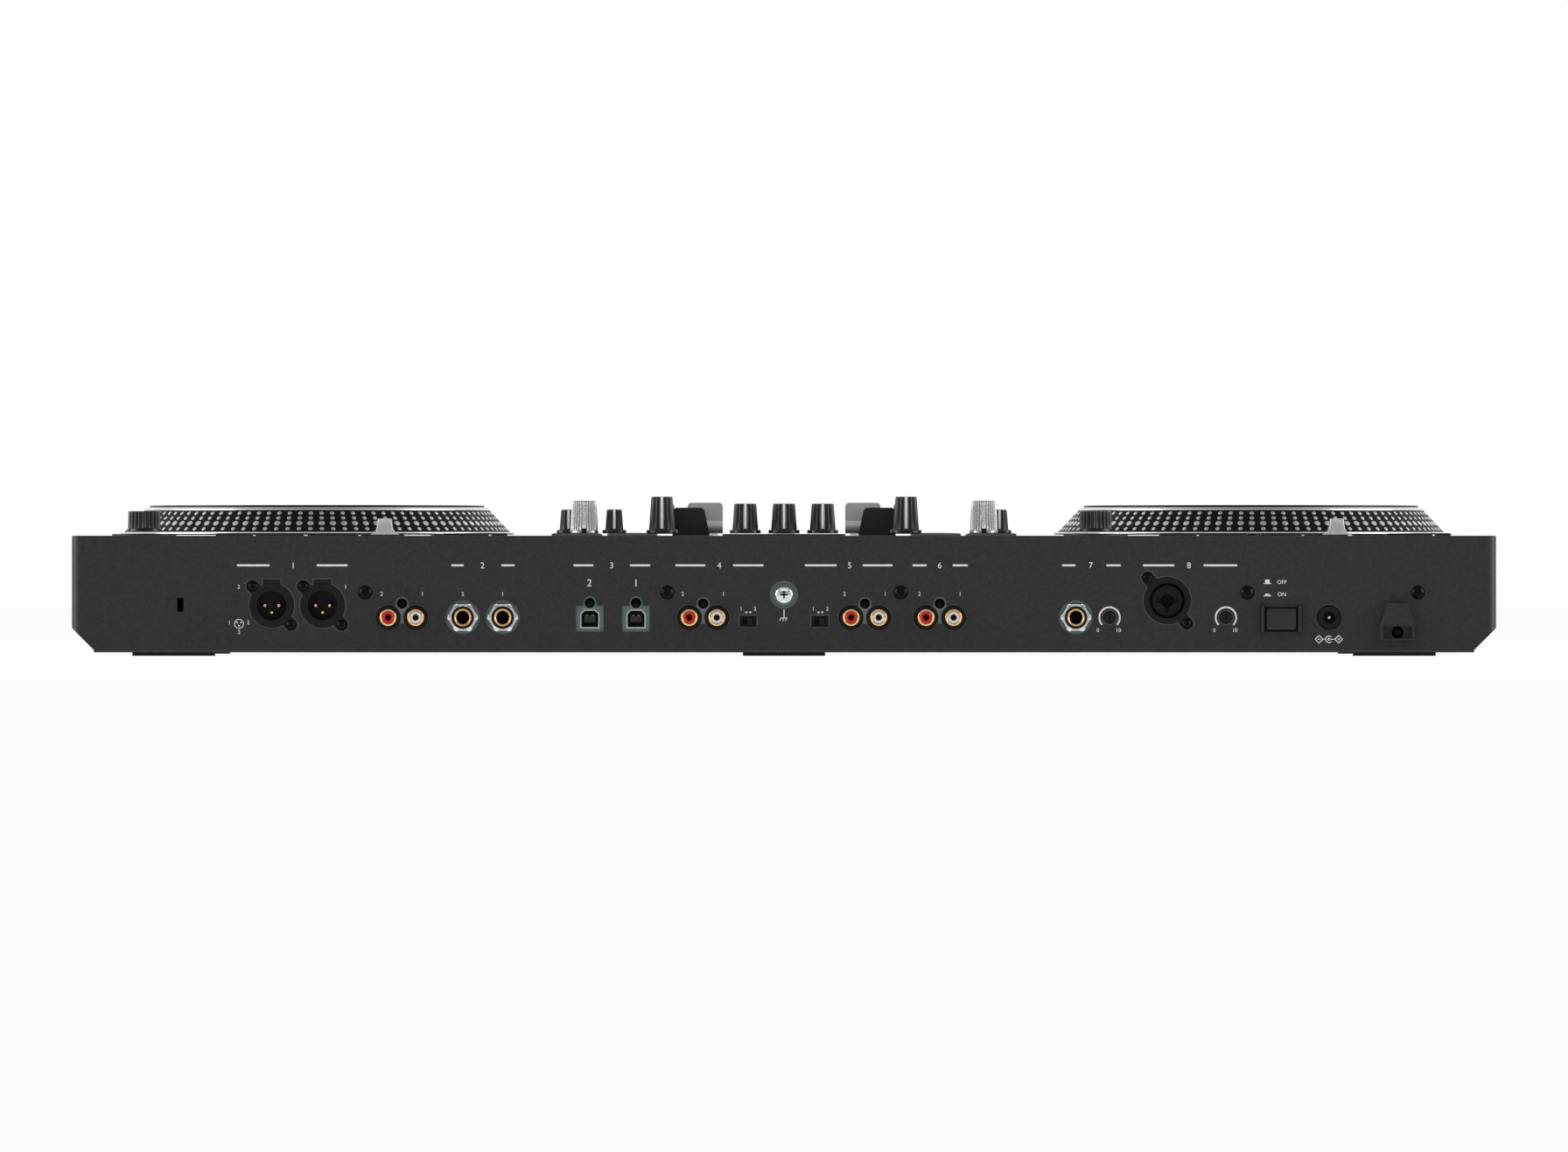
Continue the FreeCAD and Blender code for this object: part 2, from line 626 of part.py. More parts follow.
def guard_rib(x):
    """One of the ribs that keep a knock off the power switch."""
    reach = (GUARD_HEIGHT - GUARD_WIDTH) / 2
    y1 = REAR_Y + GUARD_PROUD
    ends = [bar(x, POWER_Z + sign * reach, PANEL_BACK, y1, GUARD_WIDTH) for sign in (-1, 1)]
    return fused(ends + [centred(x, POWER_Z, PANEL_BACK, y1, GUARD_WIDTH, 2 * reach)])


def rear_panel():
    """The rear wall with a rim that turns forward to meet the upper case."""
    shell = rounded_case(SEAM_Y, REAR_Y, REAR_Y).cut(case_length(WALL, SEAM_Y, PANEL_BACK))
    ribs = [guard_rib(POWER_X + sign * GUARD_OFFSET) for sign in (-1, 1)]
    return shell.fuse(ribs).cut(rear_cuts())


def jack_bracket():
    """The steel plate behind the rear wall that carries the sockets."""
    y0, y1 = BRACKET_BACK, PANEL_BACK
    top = UNDERSIDE - BRACKET_MARGIN
    plate = block(-BRACKET_HALF, BRACKET_HALF, y0, y1, CASE_BASE, top)
    y0, y1 = y0 - 1, y1 + 1
    room = 2 * SEAT_GAP
    cuts = [bar(x, XLR_Z, y0, y1, XLR_BODY_DIAMETER + room) for x in XLR_X]
    cuts.append(bar(COMBO_X, COMBO_Z, y0, y1, XLR_BODY_DIAMETER + room))
    for x in RCA_X:
        cuts += [bar(cx, SOCKET_Z, y0, y1, RCA_COLLAR_DIAMETER + room) for cx in phono_centres(x)]
    cuts += [bar(x, SOCKET_Z, y0, y1, TRS_NOSE_DIAMETER + room) for x in TRS_X]
    cuts += [usb_prism(x, y0, y1, USB_LIP + SEAT_GAP) for x in USB_X]
    cuts.append(bar(DC_X, SOCKET_Z, y0, y1, DC_BODY_DIAMETER + room))
    cuts.append(bar(0, GROUND_Z, y0, y1, GROUND_STUD + room))
    for x in INPUT_SWITCH_X.values():
        width, depth, height = INPUT_SWITCH_BLOCK
        cuts.append(centred(x, INPUT_SWITCH_Z, y0, y1, width + room, height + room))
    cuts += [bar(x, SOCKET_Z, y0, y1, TRIMMER_DIAMETER + 2 * FREE_GAP) for x in TRIMMER_X.values()]
    cuts.append(centred(POWER_X, POWER_Z, y0, y1, POWER_WIDTH + 2 * FREE_GAP, POWER_HEIGHT + 2 * FREE_GAP))
    cuts += [bar(x, z, y0, y1, screw_shank(head)) for x, z, seat, head, length in screw_places()]
    return plate.cut(cuts)


def screw_shank(head):
    """The shank's diameter for a screw head."""
    return 0.45 * head


def ear_places(x, z, ear):
    """The two screw places of an eared flange."""
    return [(x + sign * ear[0], z + sign * ear[1]) for sign in (-1, 1)]


def screw_places():
    """Every screw seen from the rear: x, z, the face its head sits on, head diameter and shank length."""
    places = [(x, CASE_SCREW_Z, REAR_Y, CASE_SCREW_HEAD, CASE_SCREW_LENGTH) for x in CASE_SCREW_X]
    flange = PANEL_BACK + XLR_FLANGE
    eared_sockets = [(x, XLR_Z, XLR_EAR) for x in XLR_X] + [(COMBO_X, COMBO_Z, COMBO_EAR)]
    for x, z, ear in eared_sockets:
        for ex, ez in ear_places(x, z, ear):
            places.append((ex, ez, flange, SMALL_SCREW_HEAD, SMALL_SCREW_LENGTH))
    for x in RCA_X:
        places.append((x, SOCKET_Z + RCA_SCREW_RISE, PANEL_BACK, SMALL_SCREW_HEAD, SMALL_SCREW_LENGTH))
    for x in USB_X:
        places.append((x, USB_Z + USB_SCREW_RISE, PANEL_BACK, SMALL_SCREW_HEAD, SMALL_SCREW_LENGTH))
    return places


def screw(x, z, seat, head, length):
    """A domed screw with a driver's cross, its head on the face at seat and its shank going forward."""
    dome_height = 0.3 * head
    radius = (head ** 2 / 4 + dome_height ** 2) / (2 * dome_height)
    ball = Part.makeSphere(radius, Vector(x, seat + dome_height - radius, z))
    dome = ball.common(bar(x, z, seat, seat + dome_height, head))
    cross_depth = 0.6 * dome_height
    arm = 0.55 * head
    y0, y1 = seat + dome_height - cross_depth, seat + dome_height + 1
    cross = [centred(x, z, y0, y1, arm, SCREW_CROSS), centred(x, z, y0, y1, SCREW_CROSS, arm)]
    shank = bar(x, z, seat - length, seat, screw_shank(head) - 2 * SEAT_GAP)
    return fused([dome, shank]).cut(cross)


def panel_screws():
    """All the black screws of the rear, with the one that holds the cord hook."""
    hook_seat = REAR_Y + HOOK_SLOT / 2
    screws = [screw(*place) for place in screw_places()]
    screws.append(screw(HOOK_X, HOOK_SCREW_Z, hook_seat, HOOK_SCREW_HEAD, CASE_SCREW_LENGTH))
    return Part.makeCompound(screws)


def ear_holes(x, z, ear):
    """The holes in an eared flange for its screws."""
    shank = screw_shank(SMALL_SCREW_HEAD)
    return [bar(ex, ez, PANEL_BACK - 1, REAR_Y, shank) for ex, ez in ear_places(x, z, ear)]


def xlr_shells():
    """The two three-pin output shells: flange, body and open cup."""
    shells = []
    front = PANEL_BACK + XLR_FLANGE
    for x in XLR_X:
        body = bar(x, XLR_Z, PANEL_BACK - XLR_BODY_LENGTH, PANEL_BACK, XLR_BODY_DIAMETER)
        solid = fused([xlr_flange(x, PANEL_BACK, front, 0), body])
        cup = bar(x, XLR_Z, front - XLR_CUP_DEPTH, front + 1, XLR_CUP_DIAMETER)
        shells.append(solid.cut([cup] + ear_holes(x, XLR_Z, XLR_EAR)))
    return Part.makeCompound(shells)


def combo_socket():
    """The microphone socket that takes a jack or a three-pin plug."""
    front = PANEL_BACK + XLR_FLANGE
    back = PANEL_BACK - XLR_BODY_LENGTH
    flange = eared(COMBO_X, COMBO_Z, PANEL_BACK, front, COMBO_FLANGE_DIAMETER, COMBO_EAR, 0)
    solid = fused([flange, bar(COMBO_X, COMBO_Z, back, PANEL_BACK, XLR_BODY_DIAMETER)])
    groove_outer = (XLR_BODY_DIAMETER + COMBO_FACE_DIAMETER) / 2 + 1
    groove = bar(COMBO_X, COMBO_Z, front - XLR_CUP_DEPTH, front + 1, groove_outer).cut(
        bar(COMBO_X, COMBO_Z, front - XLR_CUP_DEPTH, front - COMBO_FACE_DEPTH, COMBO_FACE_DIAMETER))
    holes = [bar(COMBO_X, COMBO_Z, back + POT_FLOOR, front, COMBO_BORE)]
    face = front - COMBO_FACE_DEPTH
    reach = COMBO_HOLE_CIRCLE / 2
    for angle in (0, 180, 270):
        hx = COMBO_X + reach * math.cos(math.radians(angle))
        hz = COMBO_Z + reach * math.sin(math.radians(angle))
        holes.append(bar(hx, hz, face - COMBO_HOLE_DEPTH, face, COMBO_HOLE))
    half = COMBO_KEYWAY / 2
    floor = face - COMBO_KEYWAY_DEPTH
    holes.append(block(COMBO_X - reach, COMBO_X + reach, floor, face, COMBO_Z - half, COMBO_Z + half))
    holes.append(block(COMBO_X - half, COMBO_X + half, floor, face, COMBO_Z - reach, COMBO_Z))
    return solid.cut([groove] + holes + ear_holes(COMBO_X, COMBO_Z, COMBO_EAR))


def jack_body(x, y, facing, nose):
    """A jack socket with its mouth at y, facing +Y or -Y: nose, housing, bore and the sleeve's seat."""
    def along(a, b, diameter):
        low, high = sorted((y - facing * a, y - facing * b))
        return bar(x, SOCKET_Z, low, high, diameter)

    width, depth, height = TRS_BLOCK
    low, high = sorted((y - facing * nose, y - facing * (nose + depth)))
    housing = centred(x, SOCKET_Z, low, high, width, height)
    seat = along(0, TRS_SLEEVE_LENGTH, TRS_SLEEVE_DIAMETER + 2 * SEAT_GAP)
    bore = along(0, TRS_BORE_DEPTH, TRS_BORE)
    return fused([along(0, nose, TRS_NOSE_DIAMETER), housing]).cut([seat, bore])


def jack_mouths():
    """Each jack socket: x, the mouth's y, the way it faces and the length of its nose."""
    mouth = PANEL_BACK + NUT_THICKNESS + TRS_NOSE_PROUD
    mouths = [(x, mouth, 1, mouth - BRACKET_BACK) for x in TRS_X]
    return mouths + [(PHONES_X, FRONT_Y, -1, WALL)]


def phono_block(x):
    """The moulded body of a phono pair, with a collar round each socket."""
    width, depth, height = RCA_BLOCK
    body = centred(x, SOCKET_Z, BRACKET_BACK - depth, BRACKET_BACK, width, height)
    collars = [bar(cx, SOCKET_Z, BRACKET_BACK, PANEL_BACK + RCA_COLLAR, RCA_COLLAR_DIAMETER)
               for cx in phono_centres(x)]
    shank = screw_shank(SMALL_SCREW_HEAD)
    relief = bar(x, SOCKET_Z + RCA_SCREW_RISE, BRACKET_BACK - depth, BRACKET_BACK, shank)
    return fused([body] + collars).cut(relief)


def phono_centres(x):
    """The middles of a phono pair's two sockets."""
    return (x - RCA_PITCH / 2, x + RCA_PITCH / 2)


def switch_housing(x):
    """A slide switch's body with the slot that its knob moves in."""
    width, depth, height = INPUT_SWITCH_BLOCK
    body = centred(x, INPUT_SWITCH_Z, PANEL_BACK - depth, PANEL_BACK, width, height)
    slot_width = INPUT_KNOB[0] + INPUT_TRAVEL + 2 * FREE_GAP
    slot = centred(x, INPUT_SWITCH_Z, PANEL_BACK - INPUT_SLOT_DEPTH, PANEL_BACK, slot_width,
                   INPUT_KNOB[1] + 2 * RUN_GAP)
    return body.cut(slot)


def power_housing():
    """The power switch's body, bored for the button's stem."""
    width, depth, height = POWER_BLOCK
    body = centred(POWER_X, POWER_Z, BRACKET_BACK - depth, BRACKET_BACK, width, height)
    bore = POWER_STEM + 2 * RUN_GAP
    return body.cut(centred(POWER_X, POWER_Z, BRACKET_BACK - depth + POT_FLOOR, BRACKET_BACK, bore, bore))


def socket_housings():
    """The moulded bodies behind the walls: phono pairs, jacks, slide switches and the power switch."""
    bodies = [phono_block(x) for x in RCA_X]
    bodies += [jack_body(*mouth) for mouth in jack_mouths()]
    bodies += [switch_housing(x) for x in INPUT_SWITCH_X.values()]
    return Part.makeCompound(bodies + [power_housing()])


def gold_contacts():
    """Every plated contact: three-pin pins, phono sleeves, jack sleeves and the inlet's pin."""
    contacts = []
    floor = PANEL_BACK + XLR_FLANGE - XLR_CUP_DEPTH
    for x in XLR_X:
        for angle in (0, 180, 270):
            px = x + XLR_PIN_CIRCLE / 2 * math.cos(math.radians(angle))
            pz = XLR_Z + XLR_PIN_CIRCLE / 2 * math.sin(math.radians(angle))
            contacts.append(bar(px, pz, floor, floor + XLR_PIN_LENGTH, XLR_PIN_DIAMETER))
    y0 = PANEL_BACK + RCA_COLLAR
    for x in RCA_X:
        for cx in phono_centres(x):
            tube = bar(cx, SOCKET_Z, y0, y0 + RCA_SLEEVE_LENGTH, RCA_SLEEVE_DIAMETER)
            contacts.append(tube.cut(bar(cx, SOCKET_Z, y0, y0 + RCA_SLEEVE_LENGTH, RCA_SLEEVE_BORE)))
    for x, mouth, facing, nose in jack_mouths():
        low, high = sorted((mouth, mouth - facing * TRS_SLEEVE_LENGTH))
        ring = bar(x, SOCKET_Z, low, high, TRS_SLEEVE_DIAMETER)
        contacts.append(ring.cut(bar(x, SOCKET_Z, low, high, TRS_BORE)))
    inlet = REAR_Y - DC_SETBACK
    contacts.append(bar(DC_X, SOCKET_Z, inlet - DC_BORE_DEPTH, inlet - DC_SETBACK, DC_PIN_DIAMETER))
    return Part.makeCompound(contacts)


def rca_inserts():
    """The coloured plugs in the phono sleeves, each bored for the plug's pin."""
    inserts = []
    y0 = PANEL_BACK + RCA_COLLAR
    y1 = y0 + RCA_SLEEVE_LENGTH - RCA_INSERT_SETBACK
    for x in RCA_X:
        for cx in phono_centres(x):
            plug = bar(cx, SOCKET_Z, y0, y1, RCA_SLEEVE_BORE - 2 * SEAT_GAP)
            inserts.append(plug.cut(bar(cx, SOCKET_Z, y0 + POT_FLOOR / 2, y1, RCA_PIN_BORE)))
    return Part.makeCompound(inserts)


def trs_nuts():
    """The hexagon nuts of the rear jacks, with a corner to each side and bevelled at the front."""
    corner = NUT_ACROSS / math.sqrt(3)
    front = PANEL_BACK + NUT_THICKNESS
    wide, narrow = corner + NUT_THICKNESS, NUT_ACROSS / 2 - NUT_BEVEL
    nuts = []
    for x in TRS_X:
        ring = []
        for step in range(6):
            angle = math.radians(60 * step)
            across, rise = corner * math.cos(angle), corner * math.sin(angle)
            ring.append(Vector(x + across, PANEL_BACK, SOCKET_Z + rise))
        body = prism(ring, Vector(0, NUT_THICKNESS, 0))
        start = Vector(x, front - wide + narrow, SOCKET_Z)
        bevel = Part.makeCone(wide, narrow, wide - narrow, start, Y_AXIS)
        hole = bar(x, SOCKET_Z, PANEL_BACK, front, TRS_NOSE_DIAMETER + 2 * SEAT_GAP)
        nuts.append(body.common(bevel).cut(hole))
    return Part.makeCompound(nuts)


def usb_prism(x, y0, y1, grow):
    """The outline of a USB opening, square with two cut corners at the top, larger by grow."""
    half, rise = USB_OPENING[0] / 2 + grow, USB_OPENING[1] / 2 + grow
    cut = USB_OPENING_CHAMFER + grow * (2 - math.sqrt(2))
    outline = ((-half, -rise), (half, -rise), (half, rise - cut), (half - cut, rise), (cut - half, rise),
               (-half, rise - cut))
    return prism([Vector(x + a, y0, USB_Z + b) for a, b in outline], Vector(0, y1 - y0, 0))


def usb_ports():
    """The USB sockets: a body behind the bracket, a thin lip through it, and a tongue."""
    width, depth, height = USB_SHELL
    front = PANEL_BACK + USB_LIP_PROUD
    floor = front - USB_OPENING_DEPTH
    ports = []
    for x in USB_X:
        body = centred(x, USB_Z, BRACKET_BACK - depth, BRACKET_BACK, width, height)
        lip = usb_prism(x, BRACKET_BACK, front, USB_LIP)
        tongue = centred(x, USB_Z, floor, floor + USB_TONGUE[1], USB_TONGUE[0], USB_TONGUE[2])
        ports.append(fused([fused([body, lip]).cut(usb_prism(x, floor, front, 0)), tongue]))
    return Part.makeCompound(ports)


def dc_inlet():
    """The power inlet's barrel, flat at the sides."""
    front = REAR_Y - DC_SETBACK
    barrel = bar(DC_X, SOCKET_Z, front - DC_BODY_LENGTH, front, DC_BODY_DIAMETER)
    return barrel.cut(bar(DC_X, SOCKET_Z, front - DC_BORE_DEPTH, front, DC_BORE))


def ground_terminal():
    """The earth screw with its washer."""
    seat = PANEL_BACK + GROUND_WASHER_THICKNESS
    front = REAR_Y + GROUND_PROUD
    washer = bar(0, GROUND_Z, PANEL_BACK, seat, GROUND_WASHER)
    head = bar(0, GROUND_Z, seat, front, GROUND_HEAD)
    stud = bar(0, GROUND_Z, PANEL_BACK - GROUND_STUD_LENGTH, PANEL_BACK, GROUND_STUD)
    arm = 0.6 * GROUND_HEAD
    cross = [centred(0, GROUND_Z, seat + GROUND_PROUD, front, arm, TRIMMER_SLOT),
             centred(0, GROUND_Z, seat + GROUND_PROUD, front, TRIMMER_SLOT, arm)]
    return fused([washer, head, stud]).cut(cross)


def cord_hook():
    """The hook that keeps the power cord from being pulled out: a foot and a tapering plate."""
    outer = REAR_Y + REAR_REACH
    foot = block(HOOK_X - HOOK_WIDTH / 2, HOOK_X + HOOK_WIDTH / 2, REAR_Y, outer, HOOK_BASE_Z,
                 HOOK_BASE_Z + HOOK_FOOT)
    side, tip = HOOK_WIDTH / 2, HOOK_TOP_WIDTH / 2
    shoulder, top = HOOK_BASE_Z + HOOK_SHOULDER, HOOK_BASE_Z + HOOK_HEIGHT
    corners = ((-side, HOOK_BASE_Z), (side, HOOK_BASE_Z), (side, shoulder), (tip, top), (-tip, top),
               (-side, shoulder))
    plate = prism([Vector(HOOK_X + a, REAR_Y + HOOK_SLOT, z) for a, z in corners],
                  Vector(0, REAR_REACH - HOOK_SLOT, 0))
    seat = REAR_Y + HOOK_SLOT / 2
    recess = centred(HOOK_X, HOOK_SCREW_Z, seat, outer, *HOOK_RECESS)
    hole = bar(HOOK_X, HOOK_SCREW_Z, REAR_Y, seat, screw_shank(HOOK_SCREW_HEAD))
    return fused([foot, plate]).cut([recess, hole])


def knob(size, x, y):
    """A ribbed knob with a skirt, pushed on the shaft that turns in its potentiometer."""
    top, base, skirt, height = KNOB_SIZES[size]
    ribs = KNOB_RIBS[size]
    foot = CASE_TOP + knob_lift(size)
    collar = foot + KNOB_SKIRT
    crown = CASE_TOP + height
    wide, narrow = ribbed_ring(x, y, base / 2, ribs), ribbed_ring(x, y, top / 2, ribs)
    grip = tapered(wide, collar, narrow, crown)
    neck = base / 2 * (1 - KNOB_RIB_DEPTH)
    flare = turned([(0, foot), (skirt / 2, foot), (neck, collar), (0, collar)], x, y)
    roof = crown - KNOB_ROOF
    bore = upright(x, y, foot, roof, SHAFT_DIAMETER + 2 * SEAT_GAP)
    shaft = upright(x, y, BOARD_TOP + POT_FLOOR + RUN_GAP, roof, SHAFT_DIAMETER)
    return Part.makeCompound([fused([grip, flare]).cut(bore), shaft])


def knob_lift(size):
    """The gap under a knob, larger where the knob stands on a raised moulding."""
    return KNOB_GAP + (BEZEL_HEIGHT if size == "deck" else 0)


def rotary_pot(x, y):
    """A potentiometer's body, bored for its shaft."""
    half = POT_SIZE / 2
    body = block(x - half, x + half, y - half, y + half, BOARD_TOP, UNDERSIDE)
    return body.cut(upright(x, y, BOARD_TOP + POT_FLOOR, UNDERSIDE, SHAFT_DIAMETER + 2 * RUN_GAP))


def slide_track(x, y, travel, along_x):
    """A fader's track, slotted for its stem."""
    half_length = travel / 2 + STEM_WIDTH / 2 + TRACK_END
    half_width = TRACK_WIDTH / 2
    half_x, half_y = (half_length, half_width) if along_x else (half_width, half_length)
    body = block(x - half_x, x + half_x, y - half_y, y + half_y, BOARD_TOP, UNDERSIDE)
    slot_length = travel / 2 + STEM_WIDTH / 2 + FREE_GAP
    slot_width = STEM_THICKNESS / 2 + RUN_GAP
    half_x, half_y = (slot_length, slot_width) if along_x else (slot_width, slot_length)
    return body.cut(block(x - half_x, x + half_x, y - half_y, y + half_y, BOARD_TOP + POT_FLOOR, UNDERSIDE))


def trimmer_pot(x):
    """The potentiometer behind a rear trimmer."""
    body = centred(x, SOCKET_Z, BRACKET_BACK - POT_DEPTH, BRACKET_BACK, POT_SIZE, POT_SIZE)
    floor = BRACKET_BACK - POT_DEPTH + POT_FLOOR
    return body.cut(bar(x, SOCKET_Z, floor, BRACKET_BACK, TRIMMER_SHAFT + 2 * RUN_GAP))


def control_pots():
    """The bodies of every potentiometer, turning and sliding."""
    pots = [rotary_pot(x, y) for size, x, y in knob_places().values()]
    pots += [slide_track(*place) for place in fader_places().values()]
    return Part.makeCompound(pots + [trimmer_pot(x) for x in TRIMMER_X.values()])


def trimmer(x):
    """A small slotted knob in the rear wall, in one piece with its shaft."""
    front = REAR_Y + TRIMMER_PROUD
    back = BRACKET_BACK + FREE_GAP
    head = bar(x, SOCKET_Z, back, front, TRIMMER_DIAMETER)
    shaft = bar(x, SOCKET_Z, BRACKET_BACK - POT_DEPTH + POT_FLOOR + RUN_GAP, back, TRIMMER_SHAFT)
    slot = centred(x, SOCKET_Z, front - TRIMMER_SLOT, front, TRIMMER_SLOT, TRIMMER_DIAMETER)
    return fused([head, shaft]).cut(slot)


def cap_face(length):
    """The outline of a fader cap across its travel, as a face in the plane of X and Z."""
    z0 = CASE_TOP + CAP_GAP
    lip = z0 + CAP_GAP
    waist = z0 + CAP_FLARE
    crown = z0 + CAP_HEIGHT
    base, neck, top = CAP_BASE / 2, CAP_WAIST / 2, CAP_TOP / 2
    bend = (base - neck) * (1 - math.sqrt(0.5))
    rise = (waist - lip) * (1 - math.sqrt(0.5))
    edges = []
    for sign in (1, -1):
        low = Vector(sign * base, 0, lip)
        mid = Vector(sign * (neck + bend), 0, lip + rise)
        high = Vector(sign * neck, 0, waist)
        edges.append(Part.Arc(low, mid, high).toShape())
        edges.append(Part.makeLine(high, Vector(sign * top, 0, crown)))
        edges.append(Part.makeLine(Vector(sign * base, 0, z0), low))
    edges.append(Part.makeLine(Vector(-base, 0, z0), Vector(base, 0, z0)))
    edges.append(Part.makeLine(Vector(-top, 0, crown), Vector(top, 0, crown)))
    face = Part.Face(Part.Wire(Part.__sortEdges__(edges)))
    face.translate(Vector(0, -length / 2, 0))
    return face


def fader(x, y, travel, along_x):
    """A fader's cap on the flat stem that runs in its track."""
    cap = cap_face(CAP_LENGTH).extrude(Vector(0, CAP_LENGTH, 0))
    stem = block(-STEM_WIDTH / 2, STEM_WIDTH / 2, -STEM_THICKNESS / 2, STEM_THICKNESS / 2,
                 BOARD_TOP + POT_FLOOR + RUN_GAP, CASE_TOP + CAP_GAP)
    whole = fused([cap, stem])
    if not along_x:
        whole.rotate(Vector(0, 0, 0), Z_AXIS, 90)
    whole.translate(Vector(x, y, 0))
    return whole


def lever_span(sign):
    """The X span of an effect lever."""
    return (sign * LEVER_X - LEVER_WIDTH / 2, sign * LEVER_X + LEVER_WIDTH / 2)


def cross_bar(x0, x1, diameter):
    """A round bar along X on the levers' axis."""
    start = Vector(x0, REAR_Y - LEVER_ROW, CASE_TOP + LEVER_PIN_RISE)
    return Part.makeCylinder(diameter / 2, x1 - x0, start, X_AXIS)


def effect_lever(sign):
    """A paddle with a boss that swings on the pedestal's pin."""
    x0, x1 = lever_span(sign)
    y = REAR_Y - LEVER_ROW
    low = CASE_TOP + LEVER_GAP
    plain = block(x0, x1, y - LEVER_THICKNESS / 2, y + LEVER_THICKNESS / 2, low, low + LEVER_HEIGHT)
    corners = [edge for edge in plain.Edges
               if edge.BoundBox.YLength > LEVER_THICKNESS / 2 and edge.CenterOfMass.z > low + LEVER_RADIUS]
    paddle = plain.makeFillet(LEVER_RADIUS, corners)
    return fused([paddle, cross_bar(x0, x1, LEVER_BOSS)]).cut(cross_bar(x0, x1, LEVER_PIN + 2 * RUN_GAP))


def lever_pedestals():
    """The fixed blocks beside the levers, each with a leaning inner side and an ear that carries the pin."""
    pedestals = []
    y = REAR_Y - LEVER_ROW
    for sign in SIDES.values():
        near, far = lever_span(sign)[::sign]
        end = sign * (PEDESTAL_X + PEDESTAL_WIDTH / 2)
        start = sign * (PEDESTAL_X - PEDESTAL_WIDTH / 2)
        face = y + PEDESTAL_SETBACK
        crown = CASE_TOP + PEDESTAL_HEIGHT
        corners = ((start, CASE_TOP), (end, CASE_TOP), (end, crown), (start + sign * PEDESTAL_SLOPE, crown))
        plain = prism([Vector(px, face, pz) for px, pz in corners], Vector(0, PEDESTAL_DEPTH, 0))
        rounded = [edge for edge in plain.Edges
                   if edge.BoundBox.YLength > PEDESTAL_DEPTH / 2 and edge.CenterOfMass.z > CASE_TOP + 1e-6]
        base = plain.makeFillet(PEDESTAL_RADIUS, rounded)
        inner = far + sign * FREE_GAP
        ear_top = CASE_TOP + LEVER_PIN_RISE + PEDESTAL_EAR / 2
        ear = block(min(inner, end), max(inner, end), y - PEDESTAL_EAR / 2, face + PEDESTAL_DEPTH / 2,
                    CASE_TOP, ear_top)
        pin = cross_bar(min(near, inner), max(near, inner), LEVER_PIN)
        pedestals.append(fused([base, ear, pin]))
    return Part.makeCompound(pedestals)


def raised_sheet(spans, sheet, margin, height, radius):
    """Raised keys on one sheet that lies just under the top."""
    top = UNDERSIDE - SHEET_GAP
    x0, y0 = min(s[0] for s in spans) - margin, min(s[2] for s in spans) - margin
    x1, y1 = max(s[1] for s in spans) + margin, max(s[3] for s in spans) + margin
    parts = [block(x0, x1, y0, y1, top - sheet, top)]
    parts += [soft_block(*span, top, CASE_TOP + height, radius) for span in spans]
    return fused(parts)


def pad_mat(sign):
    """One bank of pads, moulded together."""
    return raised_sheet(pad_squares(sign), PAD_SHEET, PAD_SHEET_MARGIN, PAD_HEIGHT, PAD_RADIUS)


def deck_keys(sign):
    """One deck's keys on a common bar."""
    return raised_sheet(key_spans(sign), KEY_BAR, KEY_BAR_MARGIN, KEY_HEIGHT, PAD_RADIUS)


def start_key(sign):
    """One deck's start key with the rim that keeps it under the top."""
    return raised_sheet([start_span(sign)], KEY_BAR, KEY_BAR_MARGIN, START_HEIGHT, START_RADIUS)


def power_button():
    """The power switch's button with its stem."""
    back = BRACKET_BACK + POWER_TRAVEL + FREE_GAP
    face = centred(POWER_X, POWER_Z, back, REAR_Y + POWER_PROUD, POWER_WIDTH, POWER_HEIGHT)
    stem_end = BRACKET_BACK - POWER_BLOCK[1] + POT_FLOOR + POWER_TRAVEL + FREE_GAP
    return fused([face, centred(POWER_X, POWER_Z, stem_end, back, POWER_STEM, POWER_STEM)])


def input_switch(x):
    """A slide switch's knob, at one end of its slot."""
    floor = PANEL_BACK - INPUT_SLOT_DEPTH + RUN_GAP
    return centred(x + INPUT_REST_SHIFT, INPUT_SWITCH_Z, floor, REAR_Y - INPUT_KNOB_SETBACK, *INPUT_KNOB)


def platter(sign):
    """A dish-shaped platter: flange, cone, rim and hub, bored for the spindle."""
    x = sign * DECK_X
    cone_low, cone_high = CONE_BASE_DIAMETER / 2, CONE_TOP_DIAMETER / 2
    outside = turned([(0, FLANGE_BASE), (FLANGE_RADIUS, FLANGE_BASE), (FLANGE_RADIUS, CONE_BASE),
                      (cone_low, CONE_BASE), (cone_high, RIM_BASE), (RIM_TOP_DIAMETER / 2, PLATTER_TOP),
                      (0, PLATTER_TOP)], x, PLATTER_Y)
    roof = PLATTER_TOP - PLATTER_SHELL
    hub = HUB_DIAMETER / 2
    inside = turned([(hub, FLANGE_BASE), (cone_low - PLATTER_SHELL, FLANGE_BASE),
                     (cone_high - PLATTER_SHELL, roof), (hub, roof)], x, PLATTER_Y)
    shoulder = PLATTER_TOP - SPINDLE_SHOULDER
    bores = [upright(x, PLATTER_Y, FLANGE_BASE, shoulder, SPINDLE_DIAMETER + 2 * SEAT_GAP),
             upright(x, PLATTER_Y, shoulder, PLATTER_TOP, SPINDLE_TIP_DIAMETER + 2 * SEAT_GAP)]
    return outside.cut([inside] + bores)


